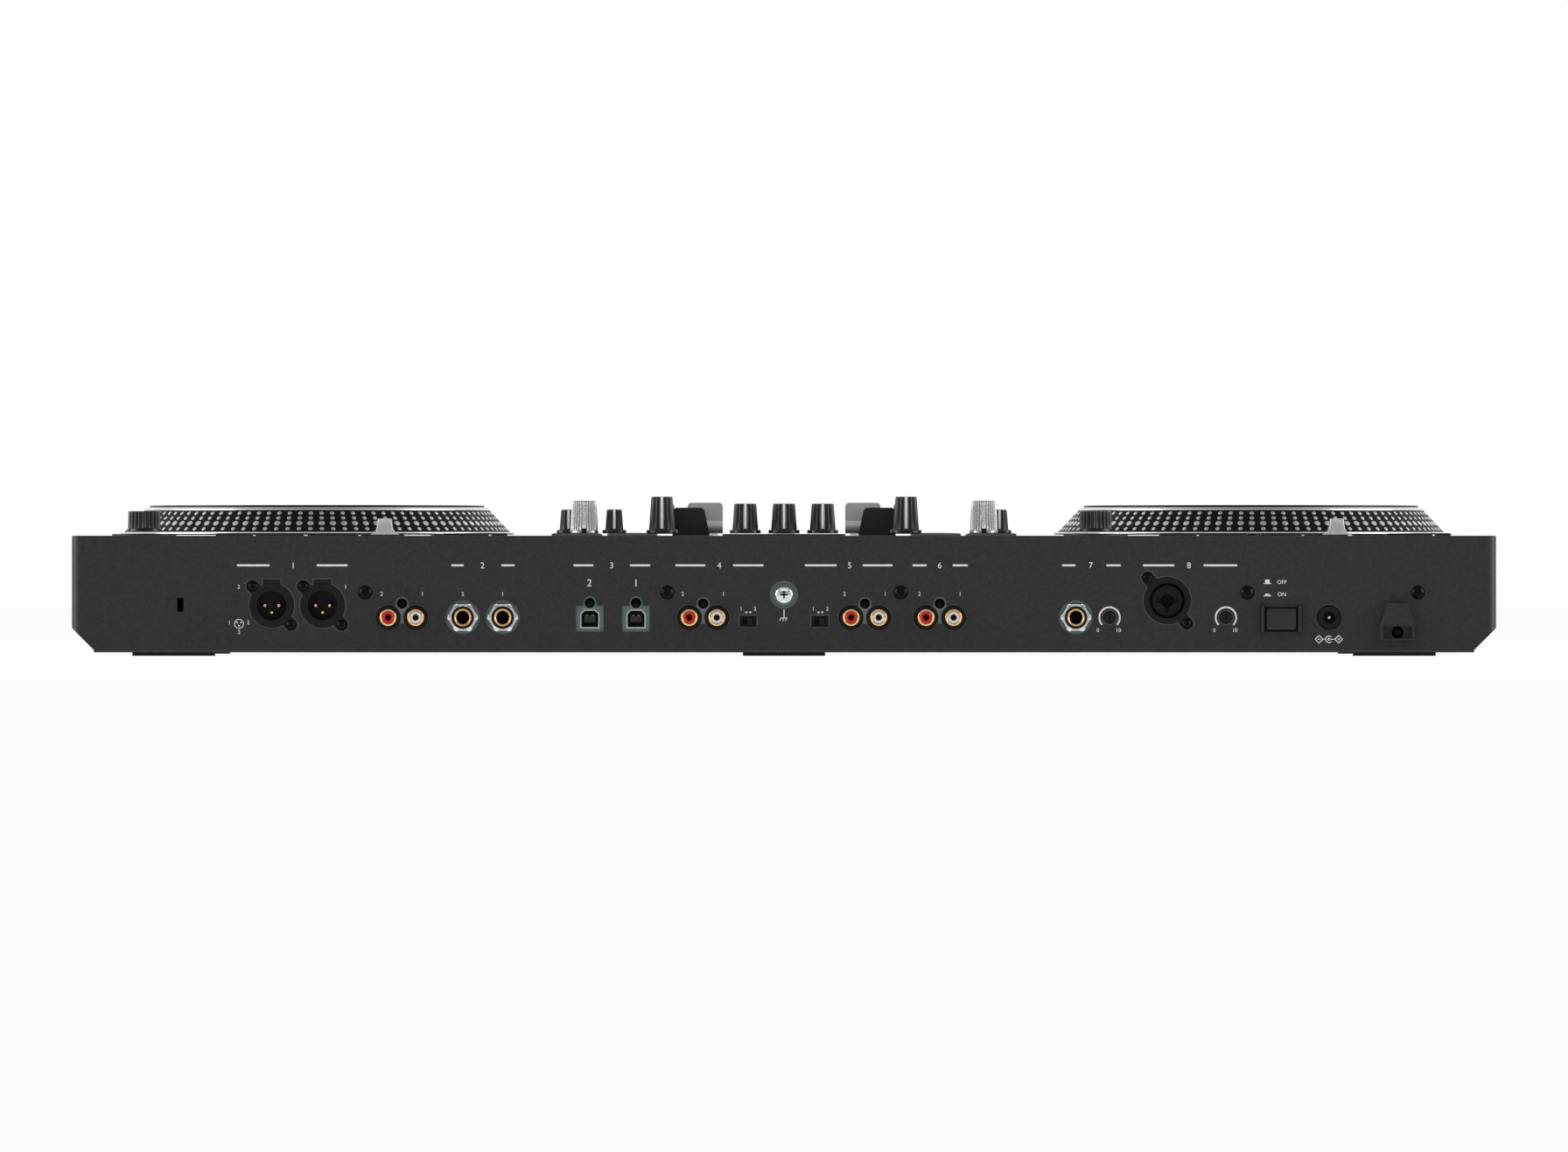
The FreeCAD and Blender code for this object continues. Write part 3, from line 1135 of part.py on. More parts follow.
def disc(sign):
    """The black disc that lies on a platter."""
    x = sign * DECK_X
    sheet = upright(x, PLATTER_Y, PLATTER_TOP, PLATTER_TOP + DISC_THICKNESS, DISC_DIAMETER)
    return sheet.cut(upright(x, PLATTER_Y, PLATTER_TOP, PLATTER_TOP + DISC_THICKNESS,
                             SPINDLE_TIP_DIAMETER + 2 * SEAT_GAP))


def rotor_levels():
    """The bottom and the top of the motor's rotor."""
    top = UNDERSIDE - ROTOR_CLEARANCE
    return top - ROTOR_HEIGHT, top


def spindle(sign):
    """A spindle in one piece with the motor's rotor; the platter sits on its shoulder."""
    x = sign * DECK_X
    shoulder = PLATTER_TOP - SPINDLE_SHOULDER
    low, high = rotor_levels()
    foot = UNDERSIDE - STATOR_HEIGHT + STATOR_FLOOR + RUN_GAP
    return fused([upright(x, PLATTER_Y, foot, shoulder, SPINDLE_DIAMETER),
                  upright(x, PLATTER_Y, shoulder, PLATTER_TOP + DISC_THICKNESS, SPINDLE_TIP_DIAMETER),
                  upright(x, PLATTER_Y, low, high, ROTOR_DIAMETER)])


def stator(sign):
    """A motor's fixed part: a cup under the top, with the spindle's bearing below the rotor."""
    x = sign * DECK_X
    base = UNDERSIDE - STATOR_HEIGHT
    cup = fused([upright(x, PLATTER_Y, base, UNDERSIDE, STATOR_DIAMETER),
                 upright(x, PLATTER_Y, UNDERSIDE - STATOR_FLANGE, UNDERSIDE, STATOR_FLANGE_DIAMETER)])
    pocket = upright(x, PLATTER_Y, rotor_levels()[0] - FREE_GAP, UNDERSIDE, ROTOR_DIAMETER + 2 * FREE_GAP)
    bearing = upright(x, PLATTER_Y, base + STATOR_FLOOR, UNDERSIDE, SPINDLE_DIAMETER + 2 * RUN_GAP)
    return cup.cut([pocket, bearing])


def motor_stators():
    """The fixed parts of both motors."""
    return Part.makeCompound([stator(sign) for sign in SIDES.values()])


def main_board():
    """The circuit board that the mixer's potentiometers stand on."""
    half = MIXER_HALF - BOARD_MARGIN
    front, rear = FRONT_Y + BOARD_MARGIN + WALL, SEAM_Y - BOARD_MARGIN
    return block(-half, half, front, rear, BOARD_TOP - BOARD_THICKNESS, BOARD_TOP)


def pieces():
    """Every piece by name."""
    found = {make.__name__: make() for make in (
        bottom_plate, upper_case, rear_panel, rubber_feet, panel_screws, xlr_shells, socket_housings,
        gold_contacts, rca_inserts, trs_nuts, usb_ports, combo_socket, dc_inlet, ground_terminal, cord_hook,
        jack_bracket, main_board, motor_stators, control_pots, lever_pedestals, power_button)}
    for side, sign in SIDES.items():
        for make in (platter, disc, spindle, effect_lever, pad_mat, deck_keys, start_key):
            found[make.__name__ + "_" + side] = make(sign)
    for name, place in knob_places().items():
        found[name] = knob(*place)
    for name, place in fader_places().items():
        found[name] = fader(*place)
    for side, x in INPUT_SWITCH_X.items():
        found["input_switch_" + side] = input_switch(x)
    for name, x in TRIMMER_X.items():
        found["trimmer_" + name] = trimmer(x)
    return found


def main():
    """Write one file for each piece."""
    os.makedirs("parts", exist_ok=True)
    for name, shape in pieces().items():
        whole = shape.Solids[0] if len(shape.Solids) == 1 else Part.makeCompound(shape.Solids)
        whole.exportStep("parts/" + name + ".step")


if __name__ == "__main__":
    main()
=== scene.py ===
"""Dresses a two-deck DJ mixer: case, rear sockets, platters, knobs, faders, pads and printed marks.

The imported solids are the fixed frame. Sizes of the pieces are in millimetres and become metres when a
piece is made; the studio is in metres. +X is the user's right, +Y the rear wall with its sockets, +Z up.
"""
from __future__ import annotations

import logging
import math
from collections.abc import Callable, Iterable
from dataclasses import dataclass, field, replace
from enum import Enum

import bpy
import bmesh
import numpy as np
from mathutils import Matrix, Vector

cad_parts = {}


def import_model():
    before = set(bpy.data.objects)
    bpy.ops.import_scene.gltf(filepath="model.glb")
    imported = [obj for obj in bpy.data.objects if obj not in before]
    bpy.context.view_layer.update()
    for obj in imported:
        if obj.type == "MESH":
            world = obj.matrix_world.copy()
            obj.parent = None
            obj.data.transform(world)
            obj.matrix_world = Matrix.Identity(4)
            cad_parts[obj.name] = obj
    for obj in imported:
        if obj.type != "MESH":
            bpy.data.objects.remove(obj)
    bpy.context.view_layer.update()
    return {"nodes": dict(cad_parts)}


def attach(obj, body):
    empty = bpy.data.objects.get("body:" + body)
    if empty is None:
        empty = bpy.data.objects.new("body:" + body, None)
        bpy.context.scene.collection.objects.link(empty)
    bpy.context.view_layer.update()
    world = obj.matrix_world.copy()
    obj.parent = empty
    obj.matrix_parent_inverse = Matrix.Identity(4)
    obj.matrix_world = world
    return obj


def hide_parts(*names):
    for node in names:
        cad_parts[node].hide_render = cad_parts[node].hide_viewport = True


LOG = logging.getLogger("mixer")
ROOT_BODY = "chassis"
MM = 0.001
WELD = 1e-6
SMOOTH_ANGLE = math.radians(32)
SIDES = {"left": -1.0, "right": 1.0}
Pair = tuple[float, float]
Point = tuple[float, float, float]
Colour = tuple[float, float, float]
Profile = list[Pair]

# Places that several sub-assemblies share
CASE_TOP = 62.0
WALL = 175.5
BRACKET = 172.5
SOCKET_ROW = 19.8
DECK_X = 244.1
PHONO_PAIRS = (196.9, 41.7, -41.7, -80.3)
JACKS = (165.6, 145.0, -150.5)

# Steps of rounded outlines, and the shares that keep a shrinking outline open
CORNER_STEPS = 6
ROLL_STEPS = 5
CROWN_STEPS = 6
NEARLY_HALF = 0.49
LEAST_CORNER = 0.12


class Facing(Enum):
    """The way a stack of rings grows: up from the top, or out of the rear wall."""

    UP = "up"
    REAR = "rear"


@dataclass
class Shape:
    """Vertices with four-sided faces and end caps, before they become a mesh.

    Attributes:
        points: Vertex places, one row each.
        quads: Vertex numbers of the four-sided faces, one row each.
        caps: Vertex numbers of each many-sided face.
    """

    points: np.ndarray
    quads: np.ndarray
    caps: list[np.ndarray] = field(default_factory=list)

    def moved(self, offset: Point) -> Shape:
        """The same shape, carried by an offset."""
        return Shape(self.points + np.asarray(offset), self.quads, self.caps)

    def turned(self, angle: float) -> Shape:
        """The same shape, turned about the upright axis through the origin.

        Args:
            angle: Turn in radians.

        Returns:
            The turned shape.
        """
        c, s = math.cos(angle), math.sin(angle)
        spin = np.array([[c, s, 0.0], [-s, c, 0.0], [0.0, 0.0, 1.0]])
        return Shape(self.points @ spin, self.quads, self.caps)

    def copies(self, offsets: np.ndarray) -> Shape:
        """One shape made of copies at the given places.

        Args:
            offsets: One row of x, y, z for each copy.

        Returns:
            The joined copies.
        """
        points = (self.points[None, :, :] + np.asarray(offsets)[:, None, :]).reshape(-1, 3)
        shift = np.arange(len(offsets)) * len(self.points)
        quads = (self.quads[None, :, :] + shift[:, None, None]).reshape(-1, 4)
        return Shape(points, quads, [cap + step for step in shift for cap in self.caps])


def joined(shapes: list[Shape]) -> Shape:
    """All the shapes as one, with the vertices and faces of all.

    Args:
        shapes: The shapes to join.

    Returns:
        One shape.
    """
    starts = np.cumsum([0] + [len(shape.points) for shape in shapes[:-1]])
    points = np.concatenate([shape.points for shape in shapes])
    quads = np.concatenate([shape.quads + start for shape, start in zip(shapes, starts)])
    caps = [cap + start for shape, start in zip(shapes, starts) for cap in shape.caps]
    return Shape(points, quads, caps)


def stacked(rings: np.ndarray, capped: bool = True) -> Shape:
    """A skin over rings of points: ring k, point i joins to ring k + 1, point i + 1, and round again.

    Args:
        rings: Array of rings, points and coordinates.
        capped: Whether a face closes each end; if not, the last ring joins the first.

    Returns:
        The closed skin.
    """
    levels, count = rings.shape[:2]
    steps = np.arange(levels - 1 if capped else levels)
    near = np.arange(count)
    far = (near + 1) % count
    low, high = (steps * count)[:, None], ((steps + 1) % levels * count)[:, None]
    quads = np.stack([low + near, low + far, high + far, high + near], axis=-1).reshape(-1, 4)
    caps = [near[::-1], near + (levels - 1) * count] if capped else []
    return Shape(rings.reshape(-1, 3), quads, caps)


def placed_rings(outlines: np.ndarray, heights: np.ndarray, facing: Facing) -> np.ndarray:
    """Flat outlines set at their heights.

    Args:
        outlines: Array of outlines, points and the two flat coordinates.
        heights: One height for each outline.
        facing: UP puts height on Z; REAR puts the outline on X and Z and height on Y.

    Returns:
        Array of rings, points and coordinates.
    """
    tall = np.broadcast_to(np.asarray(heights, float)[:, None], outlines.shape[:2])
    if facing is Facing.UP:
        return np.stack([outlines[..., 0], outlines[..., 1], tall], axis=-1)
    return np.stack([outlines[..., 0], tall, outlines[..., 1]], axis=-1)


def prism(outline: np.ndarray, low: float, high: float, facing: Facing) -> Shape:
    """One outline carried straight from a low level to a high one."""
    return stacked(placed_rings(np.array([outline, outline]), np.array([low, high]), facing))


def circle(count: int) -> np.ndarray:
    """A unit circle of points."""
    angle = np.arange(count) * (2 * math.pi / count)
    return np.stack([np.cos(angle), np.sin(angle)], axis=-1)


def lathe(profile: Profile, count: int, facing: Facing = Facing.UP, ring: bool = False) -> Shape:
    """A profile of radius and height turned about its axis: point = (r cos a, r sin a, h).

    Args:
        profile: Radius and height of each level, from the foot up.
        count: Points round the axis.
        facing: The way the axis points.
        ring: Whether the profile closes on itself, as for a tube.

    Returns:
        The turned shape, with its axis through the origin.
    """
    radius, height = np.array(profile, float).T
    outlines = radius[:, None, None] * circle(count)[None, :, :]
    return stacked(placed_rings(outlines, height, facing), capped=not ring)


def arc_profile(centre: Pair, radius: float, start: float, end: float, count: int = 5) -> Profile:
    """Points of a circular arc in a profile: (r, h) = centre + radius (cos t, sin t).

    Args:
        centre: Radius and height of the arc's middle.
        radius: The arc's radius.
        start: First angle in degrees, 0 pointing outwards.
        end: Last angle in degrees.
        count: Number of points.

    Returns:
        The points in order.
    """
    turn = np.radians(np.linspace(start, end, count))
    return list(zip(centre[0] + radius * np.cos(turn), centre[1] + radius * np.sin(turn)))


def rounded_box_outline(width: float, depth: float, radius: float) -> np.ndarray:
    """A rectangle whose corners are quarter circles of a radius, one row for each point.

    Args:
        width: Size along the first axis.
        depth: Size along the second axis.
        radius: Corner radius.

    Returns:
        The outline, anticlockwise.
    """
    angle = np.linspace(0, math.pi / 2, CORNER_STEPS)
    turns = angle[None, :] + np.arange(4)[:, None] * (math.pi / 2)
    arc = radius * np.stack([np.cos(turns), np.sin(turns)], axis=-1)
    signs = np.array([[1, 1], [-1, 1], [-1, -1], [1, -1]], float)
    centres = signs * np.array([width / 2 - radius, depth / 2 - radius])
    return (centres[:, None, :] + arc).reshape(-1, 2)


def soft_slab(size: Pair, low: float, high: float, radius: float, edge: float,
              facing: Facing = Facing.UP, crown: float = 0.0) -> Shape:
    """A slab with rounded corners, a rolled upper edge and a crowned face.

    The rolled edge is a quarter circle: inset = edge (1 - cos t), drop = edge (1 - sin t).

    Args:
        size: Width and depth along the two flat axes.
        low: Height of the foot.
        high: Height of the rim of the face.
        radius: Corner radius of the outline.
        edge: Radius of the rolled edge.
        facing: The way the face looks.
        crown: How far the middle of the face stands over its rim.

    Returns:
        The slab, centred on the axis through the origin.
    """
    width, depth = size
    roll = np.linspace(0, math.pi / 2, ROLL_STEPS)
    inset = np.concatenate([[0.0], edge * (1 - np.cos(roll))])
    height = np.concatenate([[low], high - edge * (1 - np.sin(roll))])
    if crown > 0:
        share = np.linspace(0, 1, CROWN_STEPS)[1:]
        reach = NEARLY_HALF * min(size) - edge
        inset = np.concatenate([inset, edge + reach * share])
        height = np.concatenate([height, high + crown * (1 - (1 - share) ** 2)])
    rings = []
    for step in inset:
        bend = min(max(radius - step, LEAST_CORNER * radius), NEARLY_HALF * (min(size) - 2 * step))
        rings.append(rounded_box_outline(width - 2 * step, depth - 2 * step, bend))
    return stacked(placed_rings(np.array(rings), height, facing))


def box(low: Point, high: Point) -> Shape:
    """A plain bar between two corners, used where a strip has no visible rounding.

    Args:
        low: Lowest corner.
        high: Highest corner.

    Returns:
        The bar.
    """
    x = np.array([low[0], high[0], high[0], low[0]])
    y = np.array([low[1], low[1], high[1], high[1]])
    return prism(np.stack([x, y], axis=-1), low[2], high[2], Facing.UP)


class Wiring:
    """Adds nodes to a node tree and joins them."""

    def __init__(self, tree: bpy.types.NodeTree) -> None:
        """Keeps the tree to work on."""
        self.tree = tree

    def feed(self, target: bpy.types.NodeSocket, value: object) -> None:
        """Links a socket to an input, or sets the input's own value.

        Args:
            target: The input.
            value: A socket to link, or a value to set.
        """
        if isinstance(value, bpy.types.NodeSocket):
            self.tree.links.new(value, target)
        else:
            target.default_value = value

    def node(self, kind: str, values: dict[str, object] | None = None, **settings: object) -> bpy.types.Node:
        """A new node.

        Args:
            kind: The node's type name.
            values: Inputs by name, each a socket to link or a value to set.
            settings: Node properties to set.

        Returns:
            The node.
        """
        made = self.tree.nodes.new(kind)
        for name, value in settings.items():
            setattr(made, name, value)
        for name, value in (values or {}).items():
            self.feed(made.inputs[name], value)
        return made

    def maths(self, operation: str, *values: object) -> bpy.types.NodeSocket:
        """The result of a maths node over sockets or numbers.

        Args:
            operation: The node's operation.
            values: One or two sockets or numbers.

        Returns:
            The result's socket.
        """
        made = self.node("ShaderNodeMath", operation=operation)
        for target, value in zip(made.inputs, values):
            self.feed(target, value)
        return made.outputs[0]

    def mixed(self, share: bpy.types.NodeSocket, first: Colour, second: Colour) -> bpy.types.NodeSocket:
        """Two colours mixed by a share.

        Args:
            share: Socket that gives 0 for the first colour and 1 for the second.
            first: The colour at 0.
            second: The colour at 1.

        Returns:
            The mixed colour's socket.
        """
        made = self.node("ShaderNodeMix", {"Factor": share}, data_type="RGBA")
        targets = [socket for socket in made.inputs if socket.type == "RGBA"]
        for target, colour in zip(targets, (first, second)):
            target.default_value = (*colour, 1.0)
        return next(socket for socket in made.outputs if socket.type == "RGBA")


def cleared(owner: bpy.types.Material | bpy.types.World) -> Wiring:
    """The wiring of a material or a world, with its node tree emptied.

    Args:
        owner: The material or the world.

    Returns:
        The wiring.
    """
    owner.use_nodes = True
    owner.node_tree.nodes.clear()
    return Wiring(owner.node_tree)


GroupParts = tuple[bpy.types.NodeTree, Wiring, bpy.types.NodeOutputs, bpy.types.NodeInputs]


def new_group(name: str, inputs: dict[str, float | None], outputs: list[str]) -> GroupParts:
    """An empty shader group with its sockets.

    Args:
        name: The group's name.
        inputs: Input names with their first values; None makes a vector input.
        outputs: Names of the value outputs.

    Returns:
        The group, its wiring, the sockets that come in and the sockets that go out.
    """
    group = bpy.data.node_groups.new(name, "ShaderNodeTree")
    for label, value in inputs.items():
        kind = "NodeSocketVector" if value is None else "NodeSocketFloat"
        socket = group.interface.new_socket(label, in_out="INPUT", socket_type=kind)
        if value is not None:
            socket.default_value = value
    for label in outputs:
        group.interface.new_socket(label, in_out="OUTPUT", socket_type="NodeSocketFloat")
    wires = Wiring(group)
    return group, wires, wires.node("NodeGroupInput").outputs, wires.node("NodeGroupOutput").inputs


# Detail, share of the scale and weight of each layer of grain, and what the patterns are spread over
GRAIN_LAYERS = ((2.0, 1.0, 0.6), (1.0, 0.37, 0.4))
GRAIN_SPREAD = {"From Min": 0.36, "From Max": 0.64}
PATCH_SPREAD = {"From Min": 0.3, "From Max": 0.7}
PATCH_DETAIL = 4.0
LINE_DETAIL = 3.0


def grain_group() -> bpy.types.NodeTree:
    """Fine moulded grain: two sizes of noise, as a shade from 0 to 1 and as a height.

    Returns:
        The group.
    """
    group, wires, source, sink = new_group("moulded_grain", {"Vector": None, "Scale": 1000.0},
                                           ["Shade", "Height"])
    layers = []
    for detail, share, weight in GRAIN_LAYERS:
        scale = wires.maths("MULTIPLY", source["Scale"], share)
        noise = wires.node("ShaderNodeTexNoise",
                           {"Detail": detail, "Vector": source["Vector"], "Scale": scale})
        layers.append(wires.maths("MULTIPLY", noise.outputs["Fac"], weight))
    blend = wires.maths("ADD", *layers)
    spread = wires.node("ShaderNodeMapRange", {**GRAIN_SPREAD, "Value": blend})
    wires.feed(sink["Shade"], spread.outputs["Result"])
    wires.feed(sink["Height"], blend)
    return group


def patch_group() -> bpy.types.NodeTree:
    """Broad uneven patches, as left by handling: a value between Low and High.

    Returns:
        The group.
    """
    group, wires, source, sink = new_group(
        "handling_patches", {"Vector": None, "Scale": 30.0, "Low": 0.3, "High": 0.5}, ["Value"])
    cloud = wires.node("ShaderNodeTexNoise", {"Detail": PATCH_DETAIL, "Vector": source["Vector"],
                                              "Scale": source["Scale"]})
    spread = wires.node("ShaderNodeMapRange", {**PATCH_SPREAD, "Value": cloud.outputs["Fac"],
                                               "To Min": source["Low"], "To Max": source["High"]})
    wires.feed(sink["Value"], spread.outputs["Result"])
    return group


def turning_group() -> bpy.types.NodeTree:
    """Lines left by turning: noise that follows the distance from the Z axis and changes little round it.

    Returns:
        The group.
    """
    group, wires, source, sink = new_group(
        "turning_lines", {"Vector": None, "Scale": 2000.0, "Along": 0.4}, ["Shade", "Height"])
    split = wires.node("ShaderNodeSeparateXYZ", {"Vector": source["Vector"]}).outputs
    squares = [wires.maths("MULTIPLY", split[axis], split[axis]) for axis in "XY"]
    reach = wires.maths("SQRT", wires.maths("ADD", *squares))
    angle = wires.maths("ARCTAN2", split["Y"], split["X"])
    along = wires.node("ShaderNodeCombineXYZ", {
        "X": wires.maths("MULTIPLY", reach, source["Scale"]),
        "Y": wires.maths("MULTIPLY", split["Z"], source["Scale"]),
        "Z": wires.maths("MULTIPLY", wires.maths("SINE", angle), source["Along"])})
    lines = wires.node("ShaderNodeTexNoise", {"Scale": 1.0, "Detail": LINE_DETAIL,
                                              "Vector": along.outputs["Vector"]})
    for label in ("Shade", "Height"):
        wires.feed(sink[label], lines.outputs["Fac"])
    return group


def shared_group(name: str, make: Callable[[], bpy.types.NodeTree]) -> bpy.types.NodeTree:
    """The node group of a name, built by the given function at its first use."""
    return bpy.data.node_groups.get(name) or make()


def pattern_group(turned: bool) -> bpy.types.NodeTree:
    """The group of turning lines, or the one of moulded grain.

    Args:
        turned: Whether the pattern follows turning.

    Returns:
        The group.
    """
    if turned:
        return shared_group("turning_lines", turning_group)
    return shared_group("moulded_grain", grain_group)


SHEEN_ROUGH = 0.3
PATCH_SCALE = 45.0


@dataclass(frozen=True)
class Finish:
    """A surface finish: two shades mixed by a pattern, uneven gloss and a little relief.

    Attributes:
        name: The material's name.
        dark: Colour in the pattern's hollows.
        light: Colour on the pattern's heights.
        rough: Roughness where it is smoothest and where it is roughest.
        metallic: 1 for bare metal.
        scale: Pattern features per metre.
        relief: Depth of the relief in metres.
        turned: Whether the pattern follows turning about an upright axis.
        centre: Place of the turning axis.
        specular: How strongly the surface mirrors at a straight look.
        sheen: Weight of the soft light along edges that turn away.
    """

    name: str
    dark: Colour
    light: Colour
    rough: Pair
    metallic: float = 0.0
    scale: float = 1500.0
    relief: float = 0.00002
    turned: bool = False
    centre: Point = (0.0, 0.0, 0.0)
    specular: float = 0.5
    sheen: float = 0.0

    def material(self) -> bpy.types.Material:
        """The finish as a material, made once.

        Returns:
            The material.
        """
        found = bpy.data.materials.get(self.name)
        if found is not None:
            return found
        made = bpy.data.materials.new(self.name)
        wires = cleared(made)
        place = wires.node("ShaderNodeTexCoord").outputs["Object"]
        spot = place
        if self.turned:
            shift = [-value for value in self.centre]
            spot = wires.node("ShaderNodeMapping", {"Location": shift, "Vector": place}).outputs["Vector"]
        pattern = wires.node("ShaderNodeGroup", {"Scale": self.scale, "Vector": spot},
                             node_tree=pattern_group(self.turned)).outputs
        patches = wires.node("ShaderNodeGroup", {"Scale": PATCH_SCALE, "Low": self.rough[0],
                                                 "High": self.rough[1], "Vector": place},
                             node_tree=shared_group("handling_patches", patch_group)).outputs
        bump = wires.node("ShaderNodeBump", {"Strength": 1.0, "Distance": self.relief,
                                             "Height": pattern["Height"]})
        shader = wires.node("ShaderNodeBsdfPrincipled", {
            "Base Color": wires.mixed(pattern["Shade"], self.dark, self.light),
            "Roughness": patches["Value"], "Normal": bump.outputs["Normal"], "Metallic": self.metallic,
            "Specular IOR Level": self.specular, "Sheen Weight": self.sheen, "Sheen Roughness": SHEEN_ROUGH})
        wires.node("ShaderNodeOutputMaterial", {"Surface": shader.outputs["BSDF"]})
        return made


def grey(level: float) -> Colour:
    """A neutral colour."""
    return level, level, level


# Finishes of the case and of what is screwed to it
CASE_GRAIN = Finish("case_grain", (0.0085, 0.0086, 0.0088), (0.0185, 0.0187, 0.019), (0.42, 0.46),
                    scale=1150.0, relief=0.00010, specular=0.38, sheen=0.18)
BASE_COAT = Finish("base_coat", (0.013, 0.013, 0.014), (0.026, 0.026, 0.027), (0.5, 0.65), scale=900.0,
                   relief=0.00008)
FOOT_RUBBER = Finish("foot_rubber", grey(0.012), grey(0.022), (0.7, 0.85), scale=2200.0)
SCREW_BLACK = Finish("screw_black", grey(0.001), grey(0.002), (0.14, 0.24), scale=2600.0, relief=0.000008,
                     specular=0.12)
SOCKET_BLACK = Finish("socket_black", grey(0.0022), grey(0.005), (0.34, 0.48), scale=2400.0, specular=0.22)
SWITCH_GREY = Finish("switch_grey", grey(0.007), grey(0.013), (0.3, 0.42), scale=2400.0, specular=0.45)
BRACKET_STEEL = Finish("bracket_steel", (0.15, 0.18, 0.178), (0.22, 0.255, 0.25), (0.38, 0.55),
                       metallic=0.55, scale=700.0)
CONTACT_GOLD = Finish("contact_gold", (0.72, 0.47, 0.16), (0.90, 0.66, 0.30), (0.14, 0.26), metallic=1.0,
                      scale=1800.0, relief=0.000006)
NUT_CHROME = Finish("nut_chrome", (0.62, 0.63, 0.64), (0.80, 0.80, 0.81), (0.09, 0.2), metallic=1.0,
                    scale=1600.0, relief=0.000006)
PORT_STEEL = Finish("port_steel", (0.50, 0.51, 0.51), (0.66, 0.67, 0.67), (0.2, 0.34), metallic=1.0,
                    scale=1400.0)
PORT_TONGUE = Finish("port_tongue", grey(0.022), grey(0.032), (0.4, 0.55), scale=2400.0, specular=0.3)
INSERT_RED = Finish("insert_red", (0.56, 0.004, 0.006), (0.70, 0.010, 0.012), (0.3, 0.42), scale=2400.0)
INSERT_WHITE = Finish("insert_white", (0.66, 0.66, 0.65), (0.78, 0.78, 0.77), (0.3, 0.42), scale=2400.0)
PRINT_WHITE = Finish("print_white", (0.66, 0.67, 0.68), (0.80, 0.80, 0.81), (0.5, 0.65), scale=3000.0)
BOARD_GREEN = Finish("board_green", (0.010, 0.045, 0.022), (0.016, 0.07, 0.034), (0.35, 0.5), scale=600.0)
POT_CASE = Finish("pot_case", (0.30, 0.31, 0.32), (0.42, 0.43, 0.44), (0.3, 0.45), metallic=0.9, scale=900.0)

# Finishes of the decks and of the controls
TURNED_RIM = Finish("turned_rim", (0.66, 0.67, 0.68), (0.84, 0.84, 0.85), (0.16, 0.28), metallic=1.0,
                    relief=0.000012, turned=True)
DISC_GROOVE = Finish("disc_groove", (0.003, 0.003, 0.0035), (0.009, 0.009, 0.0095), (0.3, 0.44),
                     scale=3200.0, relief=0.00004, turned=True)
DISC_LABEL = Finish("disc_label", (0.28, 0.285, 0.29), (0.36, 0.365, 0.37), (0.5, 0.62), scale=900.0,
                    relief=0.00001, turned=True)
CONE_BLACK = Finish("cone_black", grey(0.002), grey(0.004), (0.4, 0.52), scale=1600.0, specular=0.12)
DOT_BRIGHT = Finish("dot_bright", (0.74, 0.75, 0.76), (0.86, 0.86, 0.87), (0.12, 0.22), metallic=1.0,
                    scale=2000.0, relief=0.000005)
SPINDLE_STEEL = Finish("spindle_steel", (0.55, 0.56, 0.57), (0.72, 0.72, 0.73), (0.14, 0.24), metallic=1.0)
KNOB_BLACK = Finish("knob_black", grey(0.0016), grey(0.0036), (0.22, 0.34), scale=2600.0, specular=0.4)
KNOB_SILVER = Finish("knob_silver", (0.32, 0.325, 0.33), (0.44, 0.445, 0.45), (0.22, 0.36), metallic=0.9,
                     scale=2200.0)
CAP_GREY = Finish("cap_grey", (0.40, 0.405, 0.41), (0.50, 0.505, 0.51), (0.26, 0.4), metallic=0.25,
                  scale=2400.0)
LEVER_GREY = Finish("lever_grey", (0.40, 0.41, 0.41), (0.50, 0.505, 0.51), (0.3, 0.42), metallic=0.2,
                    scale=2400.0)
PAD_RUBBER = Finish("pad_rubber", (0.050, 0.051, 0.053), (0.078, 0.079, 0.081), (0.55, 0.7), scale=1900.0)

NODE_FINISHES = {
    CASE_GRAIN: ("upper_case", "rear_panel", "cord_hook"),
    BASE_COAT: ("bottom_plate",),
    FOOT_RUBBER: ("rubber_feet",),
    SCREW_BLACK: ("panel_screws",),
    SOCKET_BLACK: ("xlr_shells", "combo_socket", "dc_inlet", "socket_housings", "input_switch_left",
                   "input_switch_right", "trimmer_one", "trimmer_two"),
    KNOB_BLACK: ("lever_pedestals",),
    BRACKET_STEEL: ("jack_bracket",),
    PORT_STEEL: ("usb_ports",),
    BOARD_GREEN: ("main_board",),
    POT_CASE: ("control_pots", "motor_stators"),
    SPINDLE_STEEL: ("spindle_left", "spindle_right"),
    LEVER_GREY: ("effect_lever_left", "effect_lever_right"),
}


